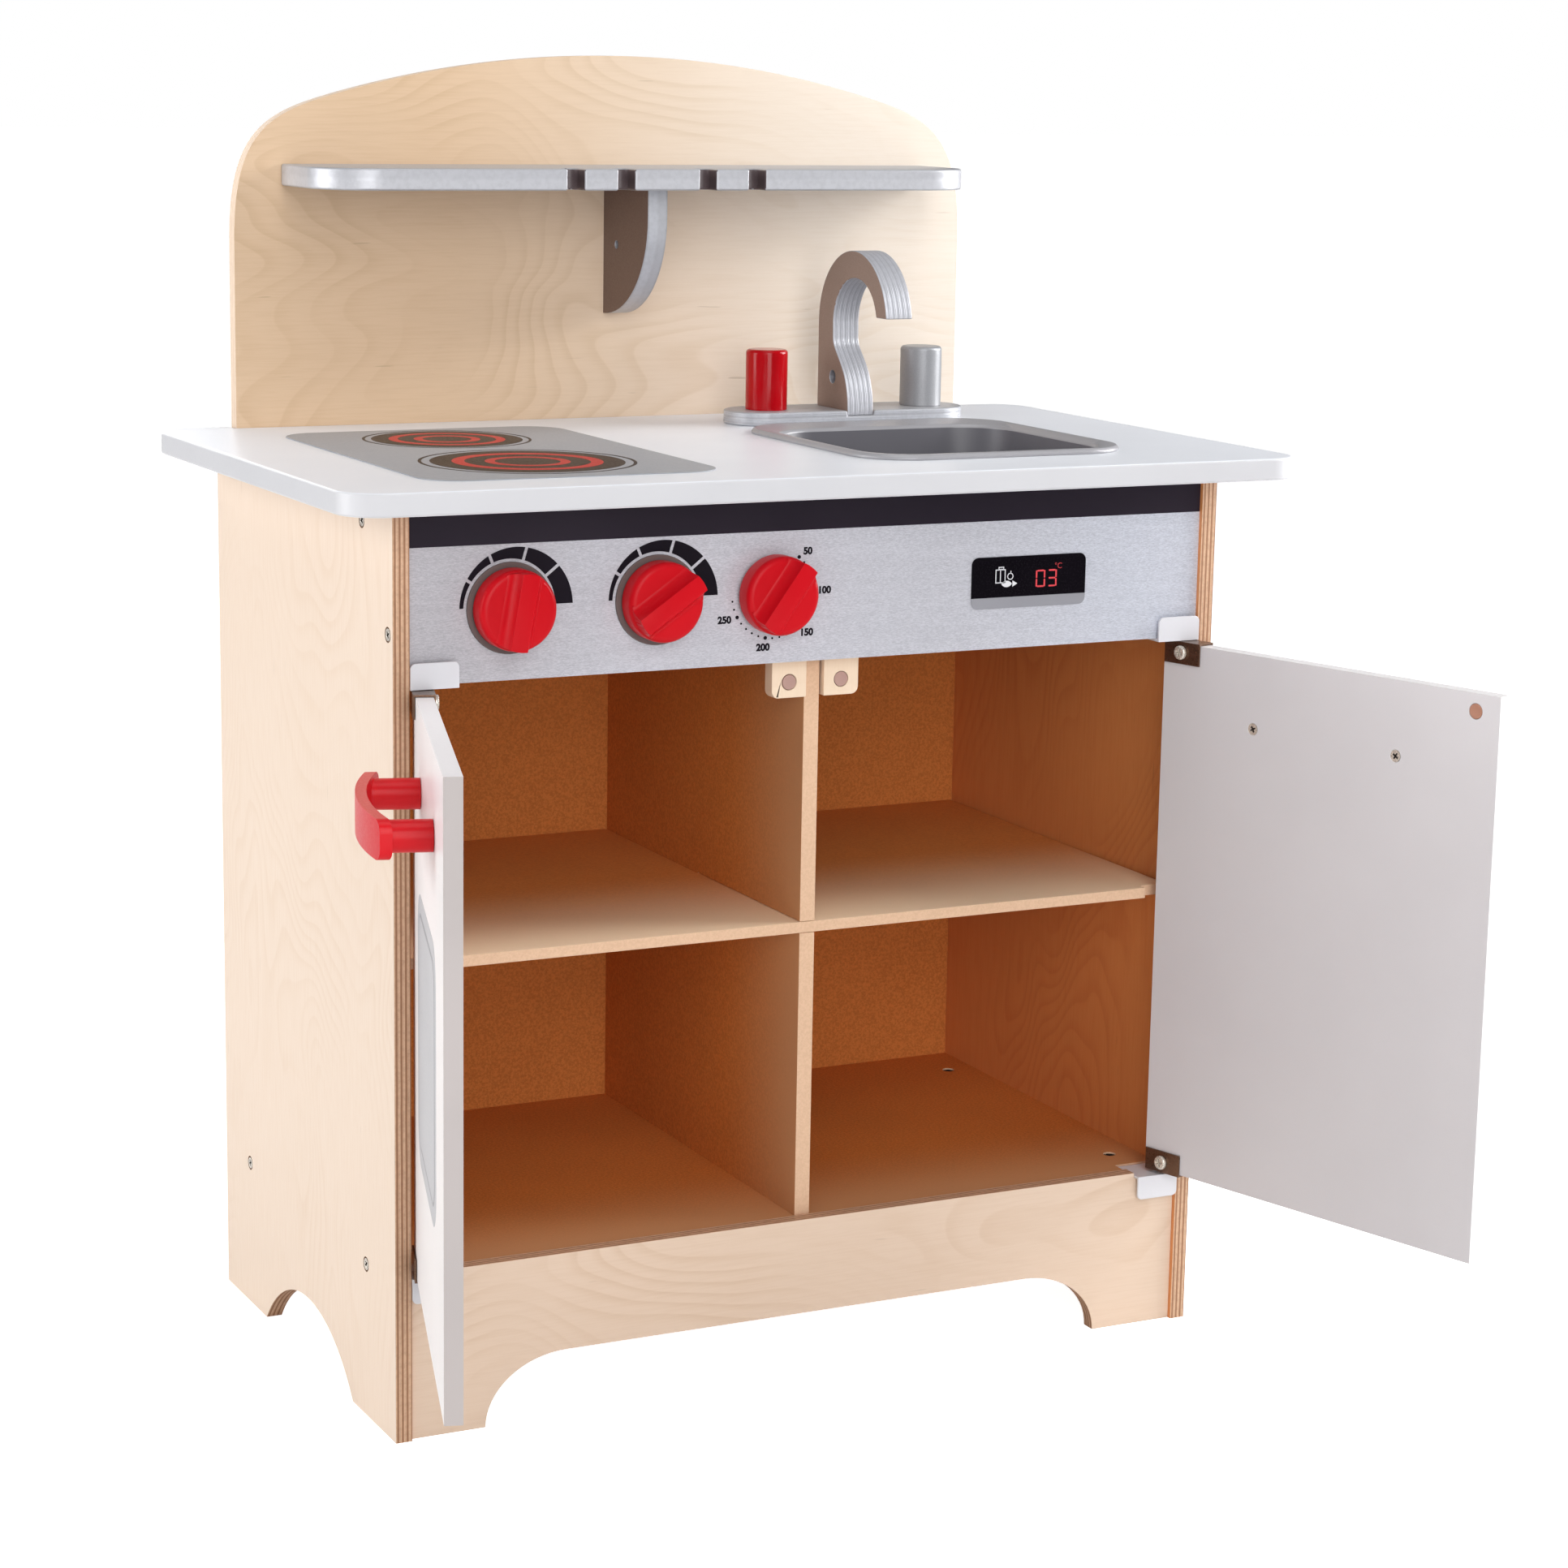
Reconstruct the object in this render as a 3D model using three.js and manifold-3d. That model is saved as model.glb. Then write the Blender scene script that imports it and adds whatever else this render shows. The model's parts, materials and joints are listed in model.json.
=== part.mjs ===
// Wooden toy kitchen: a plywood cabinet with two swinging doors, a worktop with a hob and a
// lift-out sink, three turning dials, two turning tap handles and a backboard with a shelf.
// Millimetres. X runs right, Y runs back and Z runs up from the floor.
import * as THREE from 'three';
import { mergeVertices } from 'three/addons/utils/BufferGeometryUtils.js';
import Module from 'manifold-3d';

const wasm = await Module();
wasm.setup();

// Cabinet boards
const cabinetWidth = 482.5;
const sideDepth = 280.5;
const sideHeight = 488;
const plyThickness = 9;
const frontSetback = 2.5;
const kickHeight = 90;
const controlHeight = 90;
const floorDrop = 1.5;
const backThickness = 6;
const backSetback = 1.5;
const innerSetback = 3;
const shelfThickness = 6;
const shelfHeight = 247.5;
const shelfSideGap = 1.5;
const shelfNotchWidth = 17;
const shelfNotchDepth = 5.5;
const cleatSize = 22;
const cleatRearGap = 18.5;
const dividerLap = 22;

// Arches under the side panels and the kick board
const sideArchHeight = 35;
const sideFrontFoot = 66;
const sideRearFoot = 70;
const kickArchHeight = 36.5;
const kickArchCorner = 46;
const kickLeftFoot = 42;
const kickRightFoot = 51;

// Worktop and hob
const worktopThickness = 12;
const worktopSideOverhang = 35;
const worktopFrontOverhang = 36;
const worktopCorner = 22;
const hobWidth = 164;
const hobDepth = 240;
const hobThickness = 0.5;
const hobCorner = 22;
const hobLeft = 20.5;
const hobFront = 0;

// Backboard, its shelf and the shelf's bracket
const backboardInset = 11.25;
const backboardRise = 208.5;
const backboardTail = 108;
const backboardArcRadius = 635;
const backboardShoulderRun = 64;
const backboardShoulderDrop = 105.5;
const topShelfInset = 27.75;
const topShelfDepth = 76.5;
const topShelfThickness = 12;
const topShelfHeight = 134.5;
const topShelfCorner = 33;
const topShelfSlotWidth = 10;
const topShelfSlotDepth = 14;
const topShelfInnerSlot = 25.25;
const topShelfOuterSlot = 56;
const bracketThickness = 12;
const bracketDepth = 62.5;
const bracketHeight = 73.5;
const bracketStraight = 16;
const bracketHoleSetback = 18.5;
const bracketHoleDrop = 33;

// Sink basin and the tap over it
const sinkFromRight = 123;
const sinkWidth = 164;
const sinkDepth = 178;
const sinkFront = 14;
const sinkRimHeight = 3;
const sinkSideRim = 8.5;
const sinkFrontRim = 11;
const sinkRearRim = 22;
const sinkBowlDepth = 60;
const sinkTaper = 8;
const sinkWall = 1.5;
const sinkCorner = 33;
const tapShift = 4.75;
const tapBaseLength = 152;
const tapBaseDepth = 45;
const tapBaseThickness = 8;
const tapBaseFront = 198.5;
const tapHandleRadius = 12.25;
const tapHandleHeight = 35;
const tapHandleRounding = 2;
const tapHandleSpacing = 102;
const tapPegRadius = 4;
const spoutThickness = 17;
const spoutHousing = 3;
const spoutSetback = 1;
const spoutFoot = 39.5;
const spoutRise = 53;
const spoutRadius = 42.5;
const spoutBoreRadius = 27;
const spoutBoreShift = 3.25;
const spoutNeck = 19;
const spoutTipRise = 6;
const spoutWaistRise = 44;
const spoutWaistLead = 10;
const spoutFlareLead = 30;
const spoutHoleRise = 21;

// Cross holes for barrel nuts
const nutHoleRadius = 3.75;
const nutHoleInset = 17.5;
const crossHoleRadius = 2.5;

// Doors, their hinges and catches
const doorGap = 4.5;
const doorMeetingGap = 1.5;
const pinInset = 9;
const pinRadius = 2;
const pinReach = 8;
const fit = 0.25;
const doorFaceInset = 0.25;
const leftDoorAngle = 107.25;
const rightDoorAngle = 106.5;
const hingePlate = 1.5;
const hingePlateWidth = 26;
const hingePlateHeight = 13.5;
const hingePlateDepth = 22.5;
const hingePlateStandoff = 2.5;
const hingePlateCorner = 3;
const hingeRebate = 3;
const clipSheet = 1;
const clipStart = 1;
const clipLength = 25;
const clipHeight = 12.5;
const clipScrewAlong = 13;
const clipScrewDrop = 6;
const catchWidth = 20.5;
const catchHeight = 40;
const catchDepth = 9;
const catchShown = 21;
const catchCorner = 4;
const rightCatchGap = 1.25;
const magnetRadius = 4;
const magnetDepth = 3;
const magnetDrop = 12.5;
const strikeRadius = 4;
const strikeDepth = 1.5;

// Door handles
const handleSpacing = 97;
const handlePostRadius = 7.75;
const handleDrop = 40.5;
const handleLength = 122;
const handleEndRounding = 9;
const handleHeight = 19.5;
const handleThickness = 8;
const handleReach = 33.5;
const handleEndReach = 25;
const handleRounding = 2.5;

// Dials and display on the control panel
const dialDrop = 53;
const dialRadius = 21.25;
const dialStandoff = 3;
const dialBaseDepth = 5;
const dialDepth = 19;
const dialTaper = 0.75;
const dialRibWidth = 8.5;
const dialFlankRise = 8;
const dialRounding = 1.5;
const dialSpindleRadius = 3;
const dialSpindleLength = 14;
const collarRadius = 23.5;
const collarThickness = 1.5;
const leftDialPlace = 63.5;
const middleDialPlace = 145;
const rightDialPlace = 211.5;
const leftDialAngle = 80;
const middleDialAngle = 34;
const rightDialAngle = 54;
const displayFromRight = 81.5;
const displayWidth = 71;
const displayDrop = 68;
const displayHeight = 28;
const displayCorner = 4;
const displayThickness = 0.5;

// Screws
const screwHeadRadius = 3.25;
const screwHeadDepth = 2.25;
const screwRadius = 1.75;
const sideScrewLength = 24;
const handleScrewLength = 20;
const clipScrewHeadDepth = 2;
const clipScrewHeadRadius = 4;
const clipScrewLength = 7;
const floorScrewFront = 44;
const floorScrewRear = 237;
const controlScrewDrop = 64;

// How finely round shapes are cut, and how far a cutter runs past what it cuts
const roundSteps = 24;
const arcSteps = 8;
const overrun = 5;

// Places worked out from the sizes above
const innerRight = cabinetWidth - plyThickness;
const innerWidth = cabinetWidth - 2 * plyThickness;
const middle = cabinetWidth / 2;
const frontBoardBack = frontSetback + plyThickness;
const innerFront = frontBoardBack + innerSetback;
const backFace = sideDepth - backSetback - backThickness;
const innerDepth = backFace - innerFront;
const floorTop = kickHeight - floorDrop;
const floorBottom = floorTop - plyThickness;
const controlBottom = sideHeight - controlHeight;
const worktopTop = sideHeight + worktopThickness;
const lapPlace = innerDepth / 2;
const cleatLength = innerDepth - cleatRearGap;
const backboardWidth = cabinetWidth - 2 * backboardInset;
const topShelfLength = backboardWidth - 2 * topShelfInset;
const sinkCentre = cabinetWidth - sinkFromRight;
const tapCentre = sinkCentre + tapShift;
const dialHeight = sideHeight - dialDrop;
const displayLeft = cabinetWidth - displayFromRight - displayWidth;
const displayBottom = sideHeight - displayDrop;
const controlScrewHeight = sideHeight - controlScrewDrop;
const doorWidth = (innerWidth - 2 * doorGap - doorMeetingGap) / 2;
const handleFromHinge = doorWidth / 2;
const doorTop = controlBottom - hingePlate - clipSheet - 2 * fit;
const doorBottom = kickHeight + clipSheet + 2 * fit;
const doorHeight = doorTop - doorBottom;
const pinFromDoorEnd = pinInset - doorGap;
const pinPlaceY = frontSetback - doorFaceInset + plyThickness / 2;
const pinSocket = pinRadius + fit;

// Finishes
const finishes = {
  birch: { color: 0xe9d2ae, roughness: 0.6, metalness: 0 },
  fibreboard: { color: 0xa9764a, roughness: 0.8, metalness: 0 },
  white: { color: 0xf1f0ee, roughness: 0.45, metalness: 0 },
  silver: { color: 0xb4b6ba, roughness: 0.45, metalness: 0.3 },
  brushed: { color: 0xc3c6cc, roughness: 0.4, metalness: 0.6 },
  hob: { color: 0x8d8f90, roughness: 0.4, metalness: 0.1 },
  basin: { color: 0x7d7f83, roughness: 0.35, metalness: 0.4 },
  red: { color: 0xc9161e, roughness: 0.35, metalness: 0 },
  collar: { color: 0x57494a, roughness: 0.6, metalness: 0 },
  black: { color: 0x14110f, roughness: 0.3, metalness: 0 },
  bronze: { color: 0x5b4334, roughness: 0.35, metalness: 0.8 },
  steel: { color: 0x9c938a, roughness: 0.35, metalness: 0.8 },
  magnet: { color: 0xc49a92, roughness: 0.5, metalness: 0.2 },
};

function piece(name, finish, geometry, x, y, z) {
  const mesh = new THREE.Mesh(geometry, new THREE.MeshStandardMaterial(finishes[finish]));
  mesh.name = name;
  mesh.position.set(x, y, z);
  return mesh;
}

// A shape is drawn in the plane that is named and gains its thickness along the third axis.
function extrude(shape, thickness, plane, steps = arcSteps) {
  const options = { depth: thickness, bevelEnabled: false, curveSegments: steps };
  const geometry = new THREE.ExtrudeGeometry(shape, options);
  const turn = new THREE.Matrix4();
  if (plane === 'xz') turn.set(1, 0, 0, 0, 0, 0, -1, thickness, 0, 1, 0, 0, 0, 0, 0, 1);
  if (plane === 'yz') turn.set(0, 0, 1, 0, 1, 0, 0, 0, 0, 1, 0, 0, 0, 0, 0, 1);
  return geometry.applyMatrix4(turn);
}

function block(width, depth, height) {
  return new THREE.BoxGeometry(width, depth, height).translate(width / 2, depth / 2, height / 2);
}

// A round bar starts at the origin and runs along one axis.
function bar(radius, length, axis, steps = roundSteps) {
  const geometry = new THREE.CylinderGeometry(radius, radius, length, steps);
  geometry.translate(0, length / 2, 0);
  if (axis === 'z') geometry.rotateX(Math.PI / 2);
  if (axis === 'x') geometry.rotateZ(-Math.PI / 2);
  return geometry;
}

// A turned profile of [radius, height] points is spun about Y.
function turned(points, steps = roundSteps) {
  return new THREE.LatheGeometry(points.map(([r, h]) => new THREE.Vector2(r, h)), steps);
}

// The outline of a rounded rectangle, counter-clockwise from its lower right corner
function roundedOutline(width, height, radius) {
  const right = width - radius;
  const top = height - radius;
  const corners = [[right, radius], [right, top], [radius, top], [radius, radius]];
  const points = [];
  corners.forEach(([x, y], corner) => {
    for (let i = 0; i <= arcSteps; i += 1) {
      const angle = (corner - 1 + i / arcSteps) * Math.PI / 2;
      const point = new THREE.Vector2(x + radius * Math.cos(angle), y + radius * Math.sin(angle));
      if (points.length === 0 || !point.equals(points.at(-1))) points.push(point);
    }
  });
  return points;
}

function roundedRectangle(width, height, radius) {
  return new THREE.Shape(roundedOutline(width, height, radius));
}

function toSolid(geometry) {
  const bare = geometry.clone();
  bare.deleteAttribute('normal');
  bare.deleteAttribute('uv');
  const merged = mergeVertices(bare);
  const vertProperties = new Float32Array(merged.attributes.position.array);
  const triVerts = new Uint32Array(merged.index.array);
  return new wasm.Manifold(new wasm.Mesh({ numProp: 3, vertProperties, triVerts }));
}

function toGeometry(solid) {
  const mesh = solid.getMesh();
  const geometry = new THREE.BufferGeometry();
  geometry.setAttribute('position', new THREE.BufferAttribute(mesh.vertProperties, 3));
  geometry.setIndex(new THREE.BufferAttribute(mesh.triVerts, 1));
  const flat = geometry.toNonIndexed();
  flat.computeVertexNormals();
  return flat;
}

function carve(geometry, cutters) {
  let solid = toSolid(geometry);
  for (const cutter of cutters) solid = solid.subtract(toSolid(cutter));
  return toGeometry(solid);
}

function fuse(geometry, additions) {
  let solid = toSolid(geometry);
  for (const addition of additions) solid = solid.add(toSolid(addition));
  return toGeometry(solid);
}

function common(geometry, other) {
  return toGeometry(toSolid(geometry).intersect(toSolid(other)));
}

// Rounded outlines, each with its own place, size and height, are joined into one closed shell.
function shellOfRings(rings) {
  const positions = [];
  for (const { left, front, width, depth, corner, height } of rings) {
    for (const point of roundedOutline(width, depth, corner)) {
      positions.push(point.x + left, point.y + front, height);
    }
  }
  const last = rings.length - 1;
  const count = positions.length / 3 / rings.length;
  const index = [];
  for (let ring = 0; ring < last; ring += 1) {
    for (let i = 0; i < count; i += 1) {
      const a = ring * count + i;
      const b = ring * count + ((i + 1) % count);
      index.push(a, b, b + count, a, b + count, a + count);
    }
  }
  for (let i = 1; i < count - 1; i += 1) {
    index.push(0, i + 1, i);
    index.push(last * count, last * count + i, last * count + i + 1);
  }
  const geometry = new THREE.BufferGeometry();
  geometry.setAttribute('position', new THREE.Float32BufferAttribute(positions, 3));
  geometry.setIndex(index);
  const flat = geometry.toNonIndexed();
  flat.computeVertexNormals();
  return flat;
}

// A countersunk screw starts at its head's flat face and runs along Y; grow makes its hole.
function countersunk(length, grow = 0) {
  const mouth = grow > 0 ? overrun : 0;
  const points = [
    [0, -mouth],
    [screwHeadRadius + grow, -mouth],
    [screwHeadRadius + grow, 0],
    [screwRadius + grow, screwHeadDepth],
    [screwRadius + grow, length + grow],
    [0, length + grow],
  ];
  const profile = grow > 0 ? points : points.filter((point, i) => i !== 1);
  return turned(profile);
}

const sideScrews = [
  { name: 'control', y: frontSetback + plyThickness / 2, z: controlScrewHeight },
  { name: 'cleat', y: floorScrewFront, z: sideHeight - cleatSize / 2 },
  { name: 'floor_front', y: floorScrewFront, z: floorTop - plyThickness / 2 },
  { name: 'floor_rear', y: floorScrewRear, z: floorTop - plyThickness / 2 },
];

// Side panels: plywood with an arch between a front and a rear foot
function sideOutline() {
  const start = sideFrontFoot;
  const end = sideDepth - sideRearFoot;
  const half = (end - start) / 2;
  const radius = (half * half + sideArchHeight * sideArchHeight) / (2 * sideArchHeight);
  const angle = Math.asin(half / radius);
  const shape = new THREE.Shape();
  shape.moveTo(0, 0);
  shape.lineTo(start, 0);
  const low = sideArchHeight - radius;
  shape.absarc(start + half, low, radius, Math.PI / 2 + angle, Math.PI / 2 - angle, true);
  shape.lineTo(sideDepth, 0);
  shape.lineTo(sideDepth, sideHeight);
  shape.lineTo(0, sideHeight);
  return shape;
}

function screwHole(length, x, y, z, hand) {
  const hole = countersunk(length, fit).rotateZ(-hand * Math.PI / 2);
  return hole.translate(x, y, z);
}

function sidePanel(side, hand) {
  const outer = hand > 0 ? 0 : plyThickness;
  const cutters = sideScrews.map(({ y, z }) => screwHole(sideScrewLength, outer, y, z, hand));
  const geometry = carve(extrude(sideOutline(), plyThickness, 'yz', roundSteps), cutters);
  return piece(`${side}_side_panel`, 'birch', geometry, hand > 0 ? 0 : innerRight, 0, 0);
}

function sideScrewSet(side, hand) {
  return sideScrews.map(({ name, y, z }) => {
    const geometry = countersunk(sideScrewLength).rotateZ(-hand * Math.PI / 2);
    return piece(`${side}_${name}_screw`, 'steel', geometry, hand > 0 ? 0 : cabinetWidth, y, z);
  });
}

// The part of a side screw that lies inside a board between the panels, as a hole in that board
function endHole(y, z, hand, boardX) {
  const reach = sideScrewLength - plyThickness + fit;
  const hole = bar(screwRadius + fit, reach + overrun, 'x');
  const x = hand > 0 ? plyThickness - overrun : innerRight - reach;
  return hole.translate(x - boardX, y, z);
}

function endHolePair(name, y0, z0) {
  const holes = [];
  for (const { name: screw, y, z } of sideScrews) {
    if (!screw.startsWith(name)) continue;
    for (const hand of [1, -1]) holes.push(endHole(y - y0, z - z0, hand, plyThickness));
  }
  return holes;
}

// Floor board with through holes for the barrel nuts of the side screws
function floorBoard() {
  const depth = backFace - frontBoardBack;
  const cutters = endHolePair('floor', frontBoardBack, floorBottom);
  for (const y of [floorScrewFront, floorScrewRear]) {
    for (const x of [nutHoleInset, innerWidth - nutHoleInset]) {
      const hole = bar(nutHoleRadius, plyThickness + 2 * overrun, 'z');
      cutters.push(hole.translate(x, y - frontBoardBack, -overrun));
    }
  }
  const rebateWidth = hingePlateWidth + fit;
  const rebateDepth = frontSetback - hingePlate + hingePlateDepth + fit - frontBoardBack;
  for (const x of [0, innerWidth - rebateWidth]) {
    const rebate = block(rebateWidth, rebateDepth + overrun, hingePlate + overrun);
    cutters.push(rebate.translate(x, -overrun, plyThickness - hingePlate));
  }
  const geometry = carve(block(innerWidth, depth, plyThickness), cutters);
  return piece('floor_board', 'fibreboard', geometry, plyThickness, frontBoardBack, floorBottom);
}

function backPanel() {
  const geometry = block(innerWidth, backThickness, sideHeight - floorBottom);
  return piece('back_panel', 'fibreboard', geometry, plyThickness, backFace, floorBottom);
}

// Kick board: an arch between two feet, and a rebate at each top corner for the hinge plates
function kickBoard() {
  const right = innerWidth - kickRightFoot;
  const corner = kickArchCorner;
  const shape = new THREE.Shape();
  shape.moveTo(0, 0);
  shape.lineTo(kickLeftFoot, 0);
  shape.absellipse(kickLeftFoot + corner, 0, corner, kickArchHeight, Math.PI, Math.PI / 2, true, 0);
  shape.absellipse(right - corner, 0, corner, kickArchHeight, Math.PI / 2, 0, true, 0);
  shape.lineTo(innerWidth, 0);
  shape.lineTo(innerWidth, kickHeight);
  shape.lineTo(0, kickHeight);
  const rebateWidth = hingePlateWidth + fit;
  const cutters = [0, innerWidth - rebateWidth].map((x) => {
    const rebate = block(rebateWidth, plyThickness + 2 * overrun, hingeRebate + overrun);
    return rebate.translate(x, -overrun, kickHeight - hingeRebate);
  });
  const geometry = carve(extrude(shape, plyThickness, 'xz'), cutters);
  return piece('kick_board', 'birch', geometry, plyThickness, frontSetback, 0);
}

const dials = [
  { name: 'left', x: leftDialPlace, angle: leftDialAngle, collar: true },
  { name: 'middle', x: middleDialPlace, angle: middleDialAngle, collar: true },
  { name: 'right', x: rightDialPlace, angle: rightDialAngle, collar: false },
];

function controlPanel() {
  const cutters = endHolePair('control', frontSetback, controlBottom);
  for (const { x } of dials) {
    const hole = bar(dialSpindleRadius + fit, plyThickness + 2 * overrun, 'y');
    cutters.push(hole.translate(x - plyThickness, -overrun, dialHeight - controlBottom));
  }
  const geometry = carve(block(innerWidth, plyThickness, controlHeight), cutters);
  return piece('control_panel', 'brushed', geometry, plyThickness, frontSetback, controlBottom);
}

function displayPlate() {
  const shape = roundedRectangle(displayWidth, displayHeight, displayCorner);
  const geometry = extrude(shape, displayThickness, 'xz');
  const y = frontSetback - displayThickness;
  return piece('display_plate', 'black', geometry, displayLeft, y, displayBottom);
}

// Shelf and divider cross in a half lap: the shelf is slotted from the back, the divider from
// the front. The shelf's front corners are cut away for the hinge ends of the doors.
function middleShelf() {
  const length = innerWidth - 2 * shelfSideGap;
  const slotWidth = plyThickness + 2 * fit;
  const tall = shelfThickness + 2 * overrun;
  const slot = block(slotWidth, innerDepth - lapPlace + overrun, tall);
  slot.translate((length - slotWidth) / 2, lapPlace, -overrun);
  const notches = [-overrun, length - shelfNotchWidth].map((x) => {
    const notch = block(shelfNotchWidth + overrun, shelfNotchDepth + overrun, tall);
    return notch.translate(x, -overrun, -overrun);
  });
  const geometry = carve(block(length, innerDepth, shelfThickness), [slot, ...notches]);
  const x = plyThickness + shelfSideGap;
  return piece('middle_shelf', 'fibreboard', geometry, x, innerFront, shelfHeight);
}

function divider() {
  const wide = plyThickness + 2 * overrun;
  const slot = block(wide, lapPlace + fit + overrun, shelfThickness + 2 * fit);
  slot.translate(-overrun, -overrun, shelfHeight - fit - floorTop);
  const rise = controlBottom + dividerLap - floorTop;
  const geometry = carve(block(plyThickness, innerDepth, rise), [slot]);
  const x = middle - plyThickness / 2;
  return piece('divider', 'fibreboard', geometry, x, innerFront, floorTop);
}

// Cleats inside the side panels carry the worktop
function cleat(side, hand) {
  const x = hand > 0 ? plyThickness : innerRight - cleatSize;
  const z = sideHeight - cleatSize;
  const hole = endHole(floorScrewFront - innerFront, cleatSize / 2, hand, x);
  const geometry = carve(block(cleatSize, cleatLength, cleatSize), [hole]);
  return piece(`${side}_worktop_cleat`, 'birch', geometry, x, innerFront, z);
}

// The basin's wall leaves its rim by these amounts at the sides, the front and the rear.
const wallSide = sinkSideRim - sinkWall;
const wallFront = sinkFrontRim - sinkWall;
const wallRear = sinkRearRim - sinkWall;

function sinkRing(grow, corner, height) {
  return {
    left: wallSide - grow,
    front: wallFront - grow,
    width: sinkWidth - 2 * wallSide + 2 * grow,
    depth: sinkDepth - wallFront - wallRear + 2 * grow,
    corner,
    height,
  };
}

// Worktop with a cut-out for the basin and a notch at the back for the backboard
function worktop() {
  const width = cabinetWidth + 2 * worktopSideOverhang;
  const depth = sideDepth + plyThickness + worktopFrontOverhang;
  const tall = worktopThickness + 2 * overrun;
  const ring = sinkRing(2 * fit, sinkCorner + 2 * fit, 0);
  const hole = extrude(roundedRectangle(ring.width, ring.depth, ring.corner), tall, 'xy');
  const sinkLeft = worktopSideOverhang + sinkCentre - sinkWidth / 2;
  hole.translate(sinkLeft + ring.left, worktopFrontOverhang + sinkFront + ring.front, -overrun);
  const notchWidth = backboardWidth + 2 * fit;
  const notch = block(notchWidth, plyThickness + overrun, tall);
  notch.translate((width - notchWidth) / 2, depth - plyThickness, -overrun);
  const board = extrude(roundedRectangle(width, depth, worktopCorner), worktopThickness, 'xy');
  const geometry = carve(board, [hole, notch]);
  const x = -worktopSideOverhang;
  return piece('worktop', 'white', geometry, x, -worktopFrontOverhang, sideHeight);
}

function hobSheet() {
  const shape = roundedRectangle(hobWidth, hobDepth, hobCorner);
  const geometry = extrude(shape, hobThickness, 'xy');
  return piece('hob_sheet', 'hob', geometry, hobLeft, hobFront, worktopTop);
}

// Backboard: straight sides, round shoulders and one long arc over the top
const shoulderReachShare = 0.67;
const shoulderLiftShare = 0.59;

function backboard() {
  const half = backboardWidth / 2;
  const top = backboardTail + worktopThickness + backboardRise;
  const run = half - backboardShoulderRun;
  const sink = backboardArcRadius - Math.sqrt(backboardArcRadius ** 2 - run ** 2);
  const slope = run / Math.sqrt(backboardArcRadius ** 2 - run ** 2);
  const low = top - backboardShoulderDrop;
  const lift = backboardShoulderDrop * shoulderLiftShare;
  const reach = backboardShoulderRun * shoulderReachShare;
  const angle = Math.asin(run / backboardArcRadius);
  const shape = new THREE.Shape();
  shape.moveTo(-half, 0);
  shape.lineTo(half, 0);
  shape.lineTo(half, low);
  const shoulderX = half - backboardShoulderRun;
  const shoulderZ = top - sink;
  shape.bezierCurveTo(half, low + lift, shoulderX + reach, shoulderZ - reach * slope,
    shoulderX, shoulderZ);
  const centre = top - backboardArcRadius;
  shape.absarc(0, centre, backboardArcRadius, Math.PI / 2 - angle, Math.PI / 2 + angle);
  shape.bezierCurveTo(-shoulderX - reach, shoulderZ - reach * slope, -half, low + lift, -half, low);
  const geometry = extrude(shape, plyThickness, 'xz', roundSteps);
  return piece('backboard', 'birch', geometry, middle, sideDepth, sideHeight - backboardTail);
}

// Top shelf with round front corners and four slots in its front edge
function topShelf() {
  const half = topShelfLength / 2;
  const shape = new THREE.Shape();
  shape.moveTo(half, topShelfDepth);
  shape.lineTo(-half, topShelfDepth);
  shape.lineTo(-half, topShelfCorner);
  shape.absarc(-half + topShelfCorner, topShelfCorner, topShelfCorner, Math.PI, 1.5 * Math.PI);
  shape.lineTo(half - topShelfCorner, 0);
  shape.absarc(half - topShelfCorner, topShelfCorner, topShelfCorner, 1.5 * Math.PI, 2 * Math.PI);
  const places = [topShelfInnerSlot, topShelfOuterSlot].flatMap((x) => [-x, x]);
  const round = topShelfSlotWidth / 2;
  const cutters = places.map((x) => {
    const slot = roundedRectangle(topShelfSlotWidth, topShelfSlotDepth + 2 * round, round);
    const cutter = extrude(slot, topShelfThickness + 2 * overrun, 'xy');
    return cutter.translate(x - round, -2 * round, -overrun);
  });
  const geometry = carve(extrude(shape, topShelfThickness, 'xy'), cutters);
  const y = sideDepth - topShelfDepth;
  return piece('top_shelf', 'silver', geometry, middle, y, worktopTop + topShelfHeight);
}

function shelfBracket() {
  const curve = bracketHeight - bracketStraight;
  const shape = new THREE.Shape();
  shape.moveTo(bracketDepth, bracketHeight);
  shape.lineTo(0, bracketHeight);
  shape.lineTo(0, curve);
  shape.absellipse(bracketDepth, curve, bracketDepth, curve, Math.PI, 1.5 * Math.PI, false, 0);
  const hole = bar(crossHoleRadius, bracketThickness + 2 * overrun, 'x');
  hole.translate(-overrun, bracketDepth - bracketHoleSetback, bracketHeight - bracketHoleDrop);
  const geometry = carve(extrude(shape, bracketThickness, 'yz'), [hole]);
  const x = middle - bracketThickness / 2;
  const z = worktopTop + topShelfHeight - bracketHeight;
  return piece('shelf_bracket', 'silver', geometry, x, sideDepth - bracketDepth, z);
}

function rimRing(inset, height) {
  return {
    left: inset,
    front: inset,
    width: sinkWidth - 2 * inset,
    depth: sinkDepth - 2 * inset,
    corner: sinkCorner - inset,
    height,
  };
}

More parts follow.
